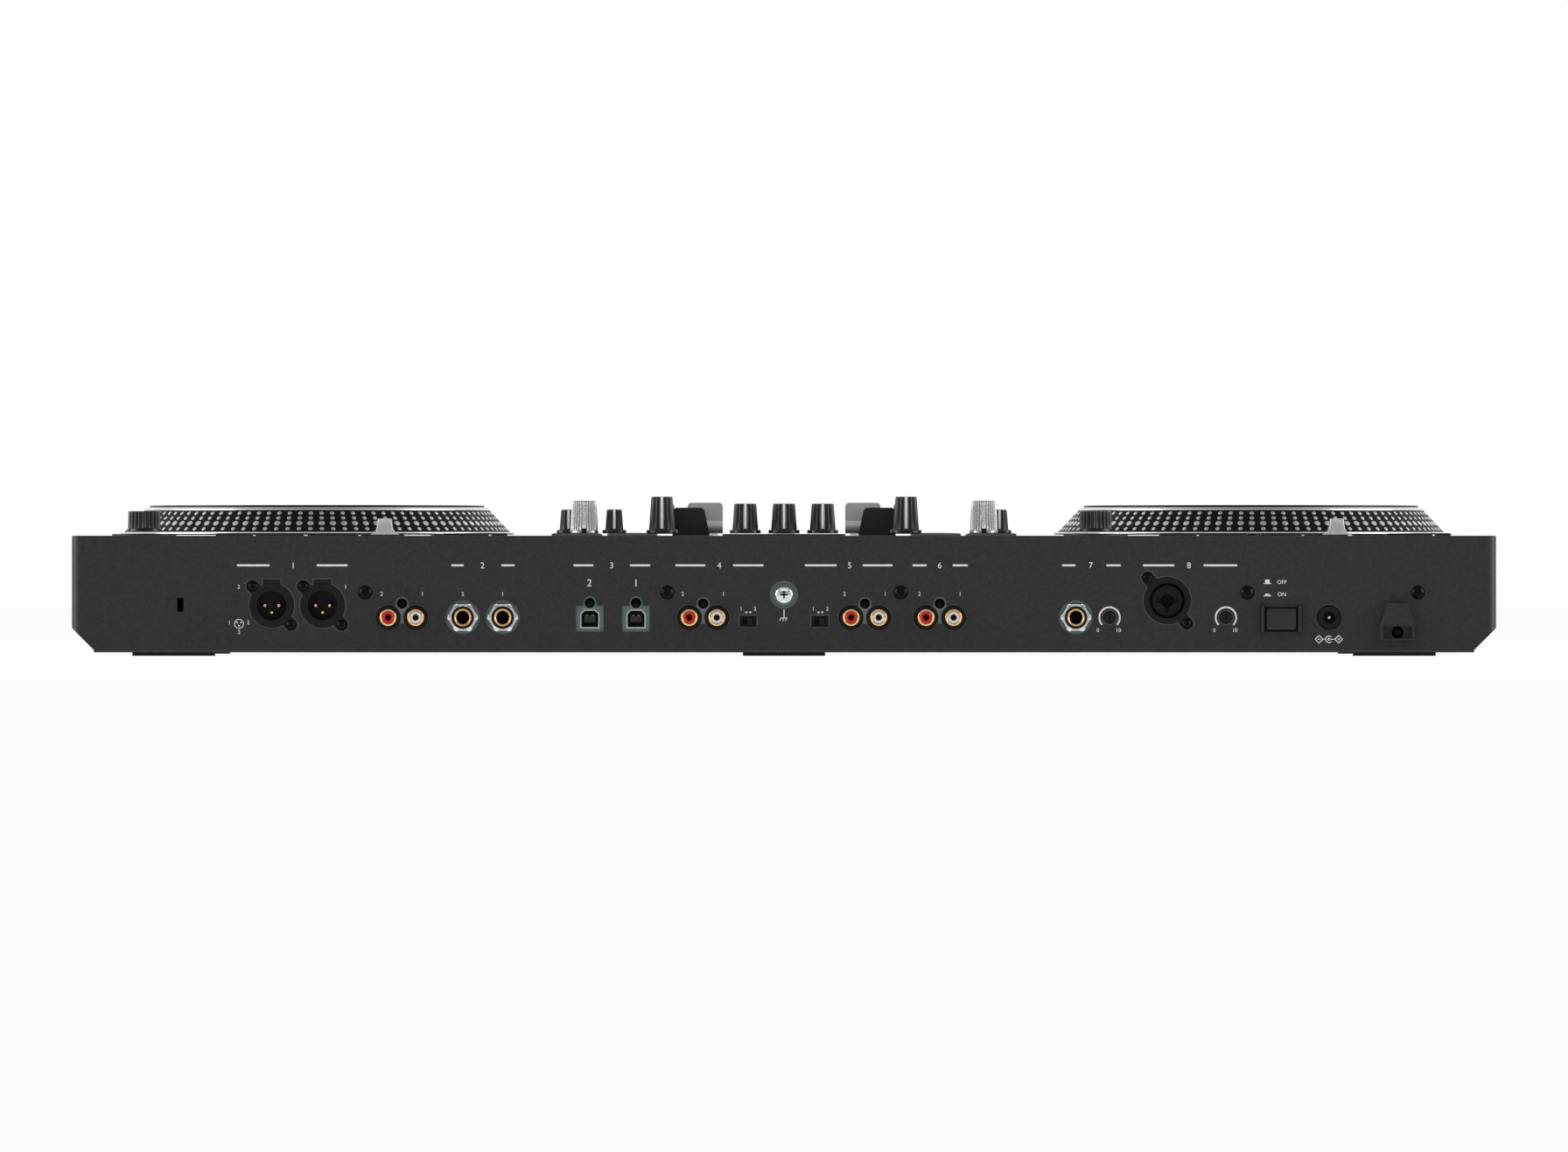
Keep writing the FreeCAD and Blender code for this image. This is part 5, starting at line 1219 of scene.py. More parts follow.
@dataclass
class Studio:
    """The floor, the backdrop, the lamps, the world and the camera.

    Attributes:
        distance: Camera from the middle of the case, in metres.
        level: Height of the camera in metres.
        rear: Place of the rear wall in metres.
        view: Width of the picture at the rear wall in metres.
        sensor: Width of the camera's sensor in millimetres.
        far: Farthest distance that the camera sees, in metres.
        reach: Half width of the floor, and height of the backdrop, in metres.
        glows: Light added to the floor and to the backdrop for the camera and for reflections.
    """

    distance: float = 12.0
    level: float = 0.0412
    rear: float = 0.1755
    view: float = 0.8082
    sensor: float = 36.0
    far: float = 100.0
    reach: float = 18.0
    glows: Pair = (0.95, 1.0)

    def build(self) -> None:
        """Sets up everything round the object."""
        scene = bpy.context.scene
        scene.view_settings.view_transform = "Standard"
        self.camera(scene)
        self.world(scene)
        self.ground(scene)
        for name, place, size, glow, mirrored in LAMPS:
            self.lamp(name, place, size, glow, mirrored)

    def camera(self, scene: bpy.types.Scene) -> None:
        """A long lens behind the case, level with the middle of the picture.

        Args:
            scene: The scene that gets the camera.
        """
        lens = bpy.data.cameras.new("camera")
        lens.sensor_fit = "HORIZONTAL"
        lens.sensor_width = self.sensor
        lens.lens = self.sensor * (self.distance - self.rear) / self.view
        lens.clip_end = self.far
        made = bpy.data.objects.new("camera", lens)
        made.location = (0.0, self.distance, self.level)
        made.rotation_euler = (math.pi / 2, 0.0, math.pi)
        scene.collection.objects.link(made)
        scene.camera = made

    def world(self, scene: bpy.types.Scene) -> None:
        """Soft light all round: bright at the sides, darker overhead and behind the camera.

        Args:
            scene: The scene that gets the light.
        """
        world = bpy.data.worlds.new("studio")
        wires = cleared(world)
        way = wires.node("ShaderNodeTexCoord").outputs["Generated"]
        split = wires.node("ShaderNodeSeparateXYZ", {"Vector": way})
        ramp = wires.node("ShaderNodeValToRGB", {"Fac": wires.maths("ABSOLUTE", split.outputs["X"])})
        for stop, (position, colour) in zip(ramp.color_ramp.elements, SKY_STOPS):
            stop.position = position
            stop.color = colour
        sky = wires.node("ShaderNodeBackground", {"Color": ramp.outputs["Color"], "Strength": SKY_STRENGTH})
        wires.node("ShaderNodeOutputWorld", {"Surface": sky.outputs["Background"]})
        scene.world = world

    def ground(self, scene: bpy.types.Scene) -> None:
        """A pale floor and a white backdrop.

        Args:
            scene: The scene that gets the two sheets.
        """
        far = self.reach
        floor = [(-far, -far, 0.0), (far, -far, 0.0), (far, far, 0.0), (-far, far, 0.0)]
        drop = [(far, -far, 0.0), (-far, -far, 0.0), (-far, -far, far), (far, -far, far)]
        for name, corners, glow in zip(("floor", "backdrop"), (floor, drop), self.glows):
            mesh = bpy.data.meshes.new(name)
            mesh.from_pydata(corners, [], [(0, 1, 2, 3)])
            mesh.materials.append(self.paper(name, glow))
            made = bpy.data.objects.new(name, mesh)
            scene.collection.objects.link(made)

    def paper(self, name: str, glow: float) -> bpy.types.Material:
        """White paper that the camera and mirror-like surfaces see as bright.

        Args:
            name: First part of the material's name.
            glow: Light added for the camera and for reflections.

        Returns:
            The material.
        """
        made = bpy.data.materials.new(f"{name}_paper")
        wires = cleared(made)
        seen = wires.node("ShaderNodeLightPath").outputs
        rays = wires.maths("MAXIMUM", seen["Is Camera Ray"], seen["Is Glossy Ray"])
        rays = wires.maths("MAXIMUM", rays, seen["Is Transmission Ray"])
        white = wires.node("ShaderNodeBsdfDiffuse", {"Color": PAPER_WHITE})
        light = wires.node("ShaderNodeEmission", {"Strength": 1.0})
        blend = wires.node("ShaderNodeMixShader", {"Fac": wires.maths("MULTIPLY", rays, glow)})
        for target, shader in zip(list(blend.inputs)[1:], (white, light)):
            wires.feed(target, shader.outputs[0])
        wires.node("ShaderNodeOutputMaterial", {"Surface": blend.outputs["Shader"]})
        return made

    def lamp(self, name: str, place: Point, size: Pair, glow: float, mirrored: bool) -> None:
        """A soft panel that faces the object.

        Args:
            name: The lamp's name.
            place: Its middle, in metres.
            size: Width and height in metres.
            glow: Brightness of its face; power = glow pi width height.
            mirrored: Whether polished surfaces show it.
        """
        light = bpy.data.lights.new(name, "AREA")
        light.shape = "RECTANGLE"
        light.size, light.size_y = size
        light.energy = glow * math.pi * size[0] * size[1]
        made = bpy.data.objects.new(name, light)
        made.location = place
        made.visible_glossy = mirrored
        made.rotation_euler = (LAMP_AIM - Vector(place)).to_track_quat("-Z", "Y").to_euler()
        bpy.context.scene.collection.objects.link(made)


def spots(across: Iterable[float], height: float) -> np.ndarray:
    """Places along the rear wall at one height, one row each."""
    return np.array([[x, 0.0, height] for x in across])


def seated(profile: Profile, count: int, ring: bool = False) -> Shape:
    """A turned piece that points out of the rear wall.

    Args:
        profile: Radius of each level and its height over the steel bracket.
        count: Points round the axis.
        ring: Whether the profile closes on itself, as for a tube.

    Returns:
        The turned piece.
    """
    return lathe([(radius, BRACKET + height) for radius, height in profile], count, Facing.REAR, ring)


def washer(inner: float, outer: float, low: float, high: float, bevel: float) -> Shape:
    """A flat ring on the steel bracket with a bevelled outer edge.

    Args:
        inner: Inner radius.
        outer: Outer radius.
        low: Height of the foot over the bracket.
        high: Height of the face over it.
        bevel: Size of the bevel.

    Returns:
        The ring.
    """
    profile = [(inner, low), (outer, low), (outer, high - bevel), (outer - bevel, high), (inner, high)]
    return seated(profile, TUBE_STEPS, ring=True)


# Radius and height over the bracket along the sections of the sockets
SLEEVE = [(3.25, 1.4), (4.3, 1.4), (4.3, 8.1), *arc_profile((3.85, 8.5), 0.5, 10, 90), (3.55, 9.0),
          (3.3, 8.75), (3.25, 8.3)]
INSERT = [(3.22, 1.6), (3.22, 8.0), (2.9, 8.5), (2.05, 8.5), (1.65, 8.05), (1.6, 3.0), (0.4, 2.9)]
# A dark dish in each insert's hole: painted shade of the hole.
INSERT_HOLE_SHADE = [(1.58, 6.1), (1.58, 7.3), (1.2, 6.9), (0.3, 6.3)]
JACK_RING = [(3.3, 1.2), (4.7, 1.2), (4.7, 3.9), (4.45, 4.2), (4.0, 4.2), (3.5, 3.7), (3.3, 2.8)]
SHELL_PIN = [(1.2, -10.8), (1.2, -2.3), *arc_profile((0.2, -2.3), 1.0, 0, 85)]
INLET_PIN = [(1.0, -7.0), (1.0, 0.7), *arc_profile((0.2, 0.7), 0.8, 0, 85)]
PHONES_RING = [(3.3, 3.0), (4.7, 3.0), (4.7, 0.3), (4.45, 0.0), (3.8, 0.0), (3.3, 0.6)]
INSERT_STEPS = 40
CORE_STEPS = 32
PIN_STEPS = 24
TUBE_STEPS = 48
HEAD_STEPS = 64
DOME_STEPS = 12
NUT_STEPS = 96


@dataclass
class RearSockets:
    """The contacts, inserts, nuts, linings and earth screw of the rear wall, and the headphone contact, with
    painted shade: dark dishes in the inserts' holes, a dark collar round the power inlet, the dark linings of
    the USB sockets and the dark cross of the earth screw.

    Attributes:
        pitch: Distance between the two sockets of a phono pair.
        cup: Inner and outer radius of the dark ring round a phono sleeve.
        collar: Inner and outer radius of the dark ring painted round the power inlet as shade on the bracket.
        rings: Foot, face and bevel of these rings.
        shells: Places of the three-pin shells.
        shell_height: Height of their middles.
        pin_circle: Radius of the circle that the three pins stand on.
        pin_turns: Angles of the pins in degrees.
        inlet: Place of the power inlet.
        phones: Place of the headphone socket in the front wall.
        front: Place of the front wall's face.
        ports: Places of the USB sockets.
        port_height: Height of their middles.
        opening: Half width, half height and corner cut of a USB opening.
        lining: Shares of the opening at the outer and inner face of the dark lining painted as the shade
            inside the socket, and its depth.
        tongue: Half width and half height of the tongue, and how far it stays back.
        tips: Places of the contact tips across the tongue.
        tip_depths: How far a tip's root and end stay back.
        tip: Half width of a tip, and heights of its foot and face.
        earth: Height of the earth screw.
        earth_washer: Inner and outer radius, foot, face and bevel of its washer.
        dome: Radius of its head, and heights of the head's foot, rim and crown over the bracket.
        cross: Half length and half width of the dark cross painted on the head as the shade of its cross
            recess.
        cross_levels: How far the cross reaches under and over the crown.
        nut_sizes: Half of a nut's flats, radius of its bore and its height.
        nut_cone: Radius of the cone at the nut's bevel and near its face.
        nut_levels: Heights of the end of the flats, of the bevel and of the bore's edge.
        nut_edges: Width of the bevel at the face and of the one at the bore.
    """

    pitch: float = 14.2
    cup: Pair = (4.6, 6.35)
    collar: Pair = (5.5, 6.55)
    rings: Point = (0.05, 0.85, 0.15)
    shells: Pair = (264.1, 237.9)
    shell_height: float = 26.0
    pin_circle: float = 3.7
    pin_turns: Point = (0.0, 180.0, 270.0)
    inlet: float = -281.0
    phones: float = -94.5
    front: float = -182.5
    ports: Pair = (100.1, 76.3)
    port_height: float = 19.1
    opening: Point = (4.375, 4.25, 1.8)
    lining: Point = (0.995, 0.95, 9.6)
    tongue: Point = (2.9, 1.7, 1.1)
    tips: Pair = (-1.5, 1.5)
    tip_depths: Pair = (3.0, 1.3)
    tip: Point = (0.5, 1.65, 1.95)
    earth: float = 31.5
    earth_washer: tuple[float, float, float, float, float] = (4.0, 5.8, 0.02, 1.2, 0.2)
    dome: tuple[float, float, float, float] = (4.6, 1.2, 3.4, 5.2)
    cross: Pair = (1.95, 0.4)
    cross_levels: Pair = (1.2, 0.03)
    nut_sizes: Point = (7.15, 5.35, 2.8)
    nut_cone: Pair = (7.9, 7.55)
    nut_levels: Point = (2.1, 2.5, 2.4)
    nut_edges: Pair = (0.25, 0.5)

    def build(self) -> None:
        """Makes all pieces of the sockets and hides the plain solids."""
        piece("plated_contacts", self.contacts(), CONTACT_GOLD, stands_for="gold_contacts")
        half = self.pitch / 2
        insert = seated(INSERT, INSERT_STEPS)
        red, white = (insert.copies(spots([x + shift for x in PHONO_PAIRS], SOCKET_ROW))
                      for shift in (half, -half))
        piece("red_inserts", red, INSERT_RED, stands_for="rca_inserts")
        piece("white_inserts", white, INSERT_WHITE)
        # The dark dishes in the inserts' holes and the dark collar round the power inlet are painted shade.
        cup = joined([seated(INSERT_HOLE_SHADE, CORE_STEPS), washer(*self.cup, *self.rings)])
        collar = washer(*self.collar, *self.rings).moved((self.inlet, 0.0, SOCKET_ROW))
        dark = joined([cup.copies(self.phono_places()), collar])
        piece("dark_socket_rings_and_painted_shade", dark, SOCKET_BLACK)
        piece("jack_nuts", self.nut().copies(spots(JACKS, SOCKET_ROW)), NUT_CHROME,
              stands_for="trs_nuts")
        self.port_linings()
        self.earth_screw()

    def phono_places(self) -> np.ndarray:
        """Places of all the phono sockets, one row each."""
        half = self.pitch / 2
        return spots([x + shift for x in PHONO_PAIRS for shift in (-half, half)], SOCKET_ROW)

    def contacts(self) -> Shape:
        """Phono sleeves, jack rings, three-pin pins, the inlet's pin and the headphone ring.

        Returns:
            All the contacts.
        """
        turns = np.radians(self.pin_turns)
        pins = np.array([[x + self.pin_circle * math.cos(turn), 0.0,
                          self.shell_height + self.pin_circle * math.sin(turn)]
                         for x in self.shells for turn in turns])
        phones = lathe(PHONES_RING, TUBE_STEPS, Facing.REAR, ring=True)
        return joined([
            seated(SLEEVE, TUBE_STEPS, ring=True).copies(self.phono_places()),
            seated(JACK_RING, TUBE_STEPS, ring=True).copies(spots(JACKS, SOCKET_ROW)),
            seated(SHELL_PIN, PIN_STEPS).copies(pins),
            seated(INLET_PIN, PIN_STEPS).moved((self.inlet, 0.0, SOCKET_ROW)),
            phones.moved((self.phones, self.front, SOCKET_ROW))])

    def port_linings(self) -> None:
        """The inside of each USB socket: a dark lining painted as the shade inside it, a tongue and two
        contact tips over it.
        """
        wide, tall, cut = self.opening
        outer, inner, deep = self.lining
        corners = np.array([[-wide, -tall], [wide, -tall], [wide, tall - cut], [wide - cut, tall],
                            [cut - wide, tall], [-wide, tall - cut]])
        mouth, floor = BRACKET + 0.1, BRACKET - deep
        outlines = np.array([corners * outer, corners * outer, corners * inner, corners * inner])
        lining = stacked(placed_rings(outlines, np.array([floor - 0.05, mouth, mouth, floor]), Facing.REAR))
        half, thick, back = self.tongue
        tongue = box((-half, floor, -thick), (half, BRACKET - back, thick))
        root, end = (BRACKET - depth for depth in self.tip_depths)
        side, foot, face = self.tip
        tips = [box((x - side, root, foot), (x + side, end, face)) for x in self.tips]
        # The dark lining is painted shade inside the socket; the tongue and tips are real parts.
        for name, shape, finish, slot in (("port_linings", lining, SOCKET_BLACK, "black_moulding"),
                                          ("port_tongues", tongue, PORT_TONGUE, "black_moulding"),
                                          ("port_tips", joined(tips), CONTACT_GOLD, "gold_plate")):
            piece(name, shape.copies(spots(self.ports, self.port_height)), finish)

    def earth_screw(self) -> None:
        """The earth terminal: a washer, a domed head and a dark cross on it, painted as the shade of its
        cross recess.
        """
        place = (0.0, 0.0, self.earth)
        radius, base, rim, crown = self.dome
        turn = np.radians(np.linspace(0, 88, DOME_STEPS))
        dome = [(radius * math.cos(a), rim + (crown - rim) * math.sin(a)) for a in turn]
        head = seated([(radius - 0.2, base - 0.1), (radius, base + 0.2), *dome], HEAD_STEPS)
        under, over = self.cross_levels
        low, high = BRACKET + crown - under, BRACKET + crown + over
        # The cross is painted shade of the recess: dark bars standing just over the dome.
        arms = [box((-x, low, -z), (x, high, z)) for x, z in (self.cross, self.cross[::-1])]
        for name, shape, finish, solid in (
                ("earth_washer", washer(*self.earth_washer), BRACKET_STEEL, None),
                ("earth_head", head, NUT_CHROME, "ground_terminal"),
                ("earth_cross_shade", joined(arms), SCREW_BLACK, None)):
            piece(name, shape.moved(place), finish, stands_for=solid)

    def nut(self) -> Shape:
        """A hexagon nut whose corners are turned off by a cone: radius = least of hexagon and cone.

        The hexagon's radius is flat / cos(a), with a the angle from the middle of the nearest flat.

        Returns:
            The nut, with its axis through the origin.
        """
        flat, bore, high = self.nut_sizes
        angle = np.arange(NUT_STEPS) * (2 * math.pi / NUT_STEPS)
        hexagon = flat / np.cos(angle % (math.pi / 3) - math.pi / 6)
        hole = np.full(NUT_STEPS, bore)
        bevel, face = (np.minimum(hexagon, reach) for reach in self.nut_cone)
        flats, edge, mouth = self.nut_levels
        outer, inner = self.nut_edges
        levels = [(hexagon, 0.0), (hexagon, flats), (bevel, edge), (face - outer, high), (hole + inner, high),
                  (hole, mouth), (hole, 0.0), (hexagon, 0.0)]
        outlines = np.array([radius[:, None] * circle(NUT_STEPS) for radius, _ in levels])
        heights = np.array([height for _, height in levels]) + BRACKET
        return stacked(placed_rings(outlines, heights, Facing.REAR), capped=False)


@dataclass
class PowerSwitch:
    """The power button with its two guard ribs, a dark ring painted round it as the shade of its gap, and
    dark edges painted round the ribs as their shadows.

    Attributes:
        x: Place of the button from left to right.
        z: Height of its middle.
        button: Width, height and reach of the button over the wall.
        depth: How far the button goes into the wall.
        soft: Corner radius, rolled edge and crown of the button.
        gap: Width, height and corner radius of the outer outline of the painted gap shade.
        clear: How much larger than the button the inside of the painted gap shade is.
        sag: How far the painted gap shade lies under the button's middle, so that it is wider under the
            button.
        guard: Width, height, reach and distance of the ribs.
        guard_soft: Corner radius and rolled edge of a rib.
        shade: How much wider and taller than a rib its painted shadow edge is, with its corner radius and
            edge.
        levels: How far the painted gap shade and the painted shadow edges reach into the wall and out of it.
    """

    x: float = -256.3
    z: float = 19.0
    button: Point = (15.6, 11.0, 3.2)
    depth: float = 4.0
    soft: Point = (1.3, 0.7, 0.02)
    gap: Point = (17.2, 12.9, 0.8)
    clear: float = 0.25
    sag: float = 0.15
    guard: tuple[float, float, float, float] = (1.9, 14.3, 3.65, 9.6)
    guard_soft: Pair = (0.9, 0.75)
    shade: tuple[float, float, float, float] = (0.8, 0.9, 1.3, 0.02)
    levels: Pair = (0.05, 0.03)

    def build(self) -> None:
        """Makes the cap, the painted gap shade, the ribs with their painted shadow edges, and hides the plain
        button.
        """
        wide, tall, reach = self.button
        corner, edge, crown = self.soft
        cap = soft_slab((wide, tall), WALL - self.depth, WALL + reach, corner, edge, Facing.REAR, crown)
        # Painted shade of the gap: a flat dark ring at the wall's face round the button, set a little low.
        outer = rounded_box_outline(*self.gap)
        inner = rounded_box_outline(wide + self.clear, tall + self.clear, self.gap[-1])
        low, high = WALL - self.levels[0], WALL + self.levels[1]
        rings = placed_rings(np.array([outer, outer, inner, inner, outer]),
                             np.array([low, high, high, low, low]), Facing.REAR)
        gap = stacked(rings, capped=False).moved((self.x, 0.0, self.z - self.sag))
        width, height, out, offset = self.guard
        places = spots([self.x - offset, self.x + offset], self.z)
        # Painted shadows of the ribs: dark edges on the wall, a little larger than the ribs.
        wider, taller, *round_off = self.shade
        edges = soft_slab((width + wider, height + taller), low, high, *round_off, Facing.REAR).copies(places)
        ribs = soft_slab((width, height), low, WALL + out, *self.guard_soft, Facing.REAR).copies(places)
        piece("power_cap", cap.moved((self.x, 0.0, self.z)), SWITCH_GREY, "power_button",
              "power_button")
        # The painted gap shade and the painted rib shadows are one dark piece.
        piece("switch_painted_shade", joined([gap, edges]), CONE_BLACK)
        piece("switch_guards", ribs, SWITCH_GREY)


DOT_POINTS = 20
ARC_POINTS = 49
FONT_RATIO = 1.42
FONT_STEPS = 3


@dataclass
class Print:
    """Thin printed marks on one flat face.

    Attributes:
        facing: The way the face looks.
        level: Height of the face along that way.
        thick: How far the ink stands out.
        sunk: How far the marks reach into the face.
        shapes: The marks so far.
    """

    facing: Facing
    level: float
    thick: float = 0.05
    sunk: float = 0.03
    shapes: list[Shape] = field(default_factory=list)

    def flat(self, outline: np.ndarray) -> None:
        """Adds a filled outline."""
        self.shapes.append(prism(outline, self.level - self.sunk, self.level + self.thick, self.facing))

    def bar(self, start: Pair, end: Pair, wide: float) -> None:
        """Adds a straight line of a width.

        Args:
            start: Middle of one end.
            end: Middle of the other end.
            wide: Width of the line.
        """
        first, last = np.array(start), np.array(end)
        along = (last - first) / np.linalg.norm(last - first)
        off = np.array([-along[1], along[0]]) * wide / 2
        self.flat(np.array([first - off, last - off, last + off, first + off]))

    def dot(self, centre: Pair, radius: float) -> None:
        """Adds a filled circle."""
        self.flat(np.array(centre) + radius * circle(DOT_POINTS))

    def arc(self, centre: Pair, radius: float, wide: float, start: float, end: float) -> None:
        """Adds part of a ring: an outer arc and an inner arc back.

        Args:
            centre: Middle of the ring.
            radius: Radius of the line's middle.
            wide: Width of the line.
            start: First angle in degrees.
            end: Last angle in degrees.
        """
        turn = np.radians(np.linspace(start, end, ARC_POINTS))
        ring = np.stack([np.cos(turn), np.sin(turn)], axis=-1)
        outer, inner = (ring * (radius + side * wide / 2) + np.array(centre) for side in (1, -1))
        low, high = self.level - self.sunk, self.level + self.thick
        heights = np.array([high, high, low, low])
        edges = placed_rings(np.array([outer, inner, inner, outer]), heights, self.facing)
        self.shapes.append(stacked(edges.transpose(1, 0, 2)))

    def text(self, letters: str, centre: Pair, height: float) -> None:
        """Adds plain digits or letters.

        Args:
            letters: What is printed.
            centre: Its middle.
            height: Height of the letters.
        """
        curve = bpy.data.curves.new("text", "FONT")
        curve.body = letters
        curve.align_x = "CENTER"
        curve.align_y = "CENTER"
        curve.size = height * FONT_RATIO
        curve.extrude = self.thick / 2
        curve.resolution_u = FONT_STEPS
        holder = bpy.data.objects.new("text", curve)
        bpy.context.scene.collection.objects.link(holder)
        bpy.context.view_layer.update()
        mesh = bpy.data.meshes.new_from_object(holder.evaluated_get(bpy.context.evaluated_depsgraph_get()))
        points = np.empty(len(mesh.vertices) * 3)
        mesh.vertices.foreach_get("co", points)
        points = points.reshape(-1, 3)
        points = points - (points.min(axis=0) + points.max(axis=0)) / 2
        faces = [np.array(face.vertices) for face in mesh.polygons]
        bpy.data.objects.remove(holder)
        bpy.data.curves.remove(curve)
        bpy.data.meshes.remove(mesh)
        level = self.level + self.thick / 2
        if self.facing is Facing.REAR:
            place = points[:, [0, 2, 1]] * [-1, 1, 1] + [centre[0], level, centre[1]]
        else:
            place = points + [centre[0], centre[1], level]
        self.shapes.append(Shape(place, np.zeros((0, 4), dtype=int), faces))

    def build(self, name: str) -> None:
        """Makes the marks one piece on the case."""
        piece(name, joined(self.shapes), PRINT_WHITE)


@dataclass
class RearMarks:
    """The printed rules, numbers and symbols of the rear wall.

    Attributes:
        heads: Outer and inner ends of the two rules of each heading.
        head: Height of the headings.
        rule: Width of the headings' rules.
        head_text: Height of the headings' numbers.
        small_text: Height of the sockets' numbers.
        tiny_text: Height of the numbers and words of pins, switches and dials.
        port_text: Height of the numbers over the USB sockets.
        rows: Heights of the numbers of phono and jack sockets, shells, USB sockets and slide switches.
        aside: Distance of a phono pair's numbers from its middle.
        shells: Places of the numbers of the three-pin shells.
        ports: Places of the numbers of the USB sockets.
        switches: Places of the slide switches.
        trimmers: Places of the trimmers.
        dial: Radius and width of the arc round a trimmer, and how far under it the numbers stand.
        dial_ends: Distances of the arc's two numbers from the trimmer.
        thin: Width of a symbol's strokes.
        fine: Width of its finest strokes.
    """

    heads: tuple[tuple[float, float, float, float], ...] = (
        (281.9, 265.2, 240.8, 225.0), (171.4, 165.1, 145.7, 138.9), (108.5, 98.3, 79.4, 69.0),
        (55.9, 40.6, 26.2, 10.6), (-10.8, -27.1, -40.6, -55.9), (-66.3, -73.5, -87.0, -94.7),
        (-143.4, -150.2, -166.2, -173.6), (-185.1, -201.1, -216.3, -233.6))
    head: float = 46.7
    rule: float = 1.0
    head_text: float = 3.1
    small_text: float = 2.1
    tiny_text: float = 2.0
    port_text: float = 3.7
    rows: tuple[float, float, float, float] = (32.0, 35.7, 37.7, 24.4)
    aside: float = 10.5
    shells: Pair = (281.1, 226.0)
    ports: Pair = (100.3, 76.3)
    switches: Pair = (18.5, -18.7)
    trimmers: Pair = (-227.8, -167.8)
    dial: Point = (5.3, 0.85, 6.5)
    dial_ends: Pair = (6.0, -4.8)
    thin: float = 0.45
    fine: float = 0.4

    def build(self) -> None:
        """Prints the wall."""
        ink = Print(Facing.REAR, WALL)
        for order, (outer, inner, near, far) in enumerate(self.heads, start=1):
            ink.bar((outer, self.head), (inner, self.head), self.rule)
            ink.bar((near, self.head), (far, self.head), self.rule)
            ink.text(str(order), ((inner + near) / 2, self.head), self.head_text)
        self.socket_numbers(ink)
        radius, wide, under = self.dial
        for x in self.trimmers:
            ink.arc((x, SOCKET_ROW), radius, wide, -45, 225)
            for number, aside in zip(("0", "10"), self.dial_ends):
                ink.text(number, (x + aside, SOCKET_ROW - under), self.tiny_text)
        self.earth_sign(ink)
        self.pin_order(ink)
        self.polarity(ink)
        self.switch_positions(ink)
        ink.build("rear_print")

    def socket_numbers(self, ink: Print) -> None:
        """Small numbers beside and over the sockets and the slide switches.

        Args:
            ink: The wall's marks.
        """
        over, shell, port, switch = self.rows
        for x in PHONO_PAIRS:
            ink.text("2", (x + self.aside, over), self.small_text)
            ink.text("1", (x - self.aside, over), self.small_text)
        for places, height, size in ((JACKS[:2], over, self.small_text),
                                     (self.shells, shell, self.small_text),
                                     (self.ports, port, self.port_text)):
            for order, x in zip("21", places):
                ink.text(order, (x, height), size)
        for x in self.switches:
            for order, side in (("1", 1), ("2", -1)):
                ink.dot((x + side, switch - 1.9), 0.5)
                ink.text(order, (x + side * 3.6, switch), self.tiny_text)

    def earth_sign(self, ink: Print) -> None:
        """The earth sign: a stem, a bar and three slanting feet.

        Args:
            ink: The wall's marks.
        """
        bar, foot = 19.6, 18.1
        ink.bar((0.0, 23.9), (0.0, bar), self.thin)
        ink.bar((1.7, bar), (-1.7, bar), self.thin)
        for x in (1.5, 0.0, -1.5):
            ink.bar((x, bar), (x + 0.7, foot), self.fine)

    def pin_order(self, ink: Print) -> None:
        """The order of the three pins: a ring with three dots and their numbers.

        Args:
            ink: The wall's marks.
        """
        middle, upper = 280.9, 17.3
        ink.arc((middle, 16.6), 2.3, 0.35, 0, 360)
        for x, z in ((281.9, upper), (279.9, upper), (middle, 15.6)):
            ink.dot((x, z), 0.42)
        for order, x, z in (("1", 285.8, upper), ("2", 276.2, upper), ("3", middle, 12.4)):
            ink.text(order, (x, z), self.tiny_text)

    def polarity(self, ink: Print) -> None:
        """The polarity sign: a minus and a plus in tilted squares, joined to a dot and an open ring.

        Args:
            ink: The wall's marks.
        """
        minus, plus, middle, z = -275.8, -285.9, -280.9, 8.6
        half, arm = 2.0, 0.7
        for x in (minus, plus):
            corners = [(x - half, z), (x, z + half), (x + half, z), (x, z - half)]
            for start, end in zip(corners, corners[1:] + corners[:1]):
                ink.bar(start, end, self.thin)
            ink.bar((x - arm, z), (x + arm, z), self.fine)
        ink.bar((plus, z - arm), (plus, z + arm), self.fine)
        ink.arc((middle, z), 1.7, self.thin, -135, 135)
        ink.dot((middle, z), 0.75)
        ink.bar((-277.8, z), (-279.2, z), self.thin)
        ink.bar((middle, z), (-283.9, z), self.thin)

    def switch_positions(self, ink: Print) -> None:
        """The words and the button signs of the power button's two positions.

        Args:
            ink: The wall's marks.
        """
        for word, z, rise in (("OFF", 38.1, 1.9), ("ON", 31.8, 0.9)):
            level = z - 0.7 + rise / 2
            ink.text(word, (-256.6, z), self.tiny_text)
            ink.bar((-247.2, z - 0.8), (-251.1, z - 0.8), self.fine)
            ink.bar((-248.0, level), (-250.3, level), rise)


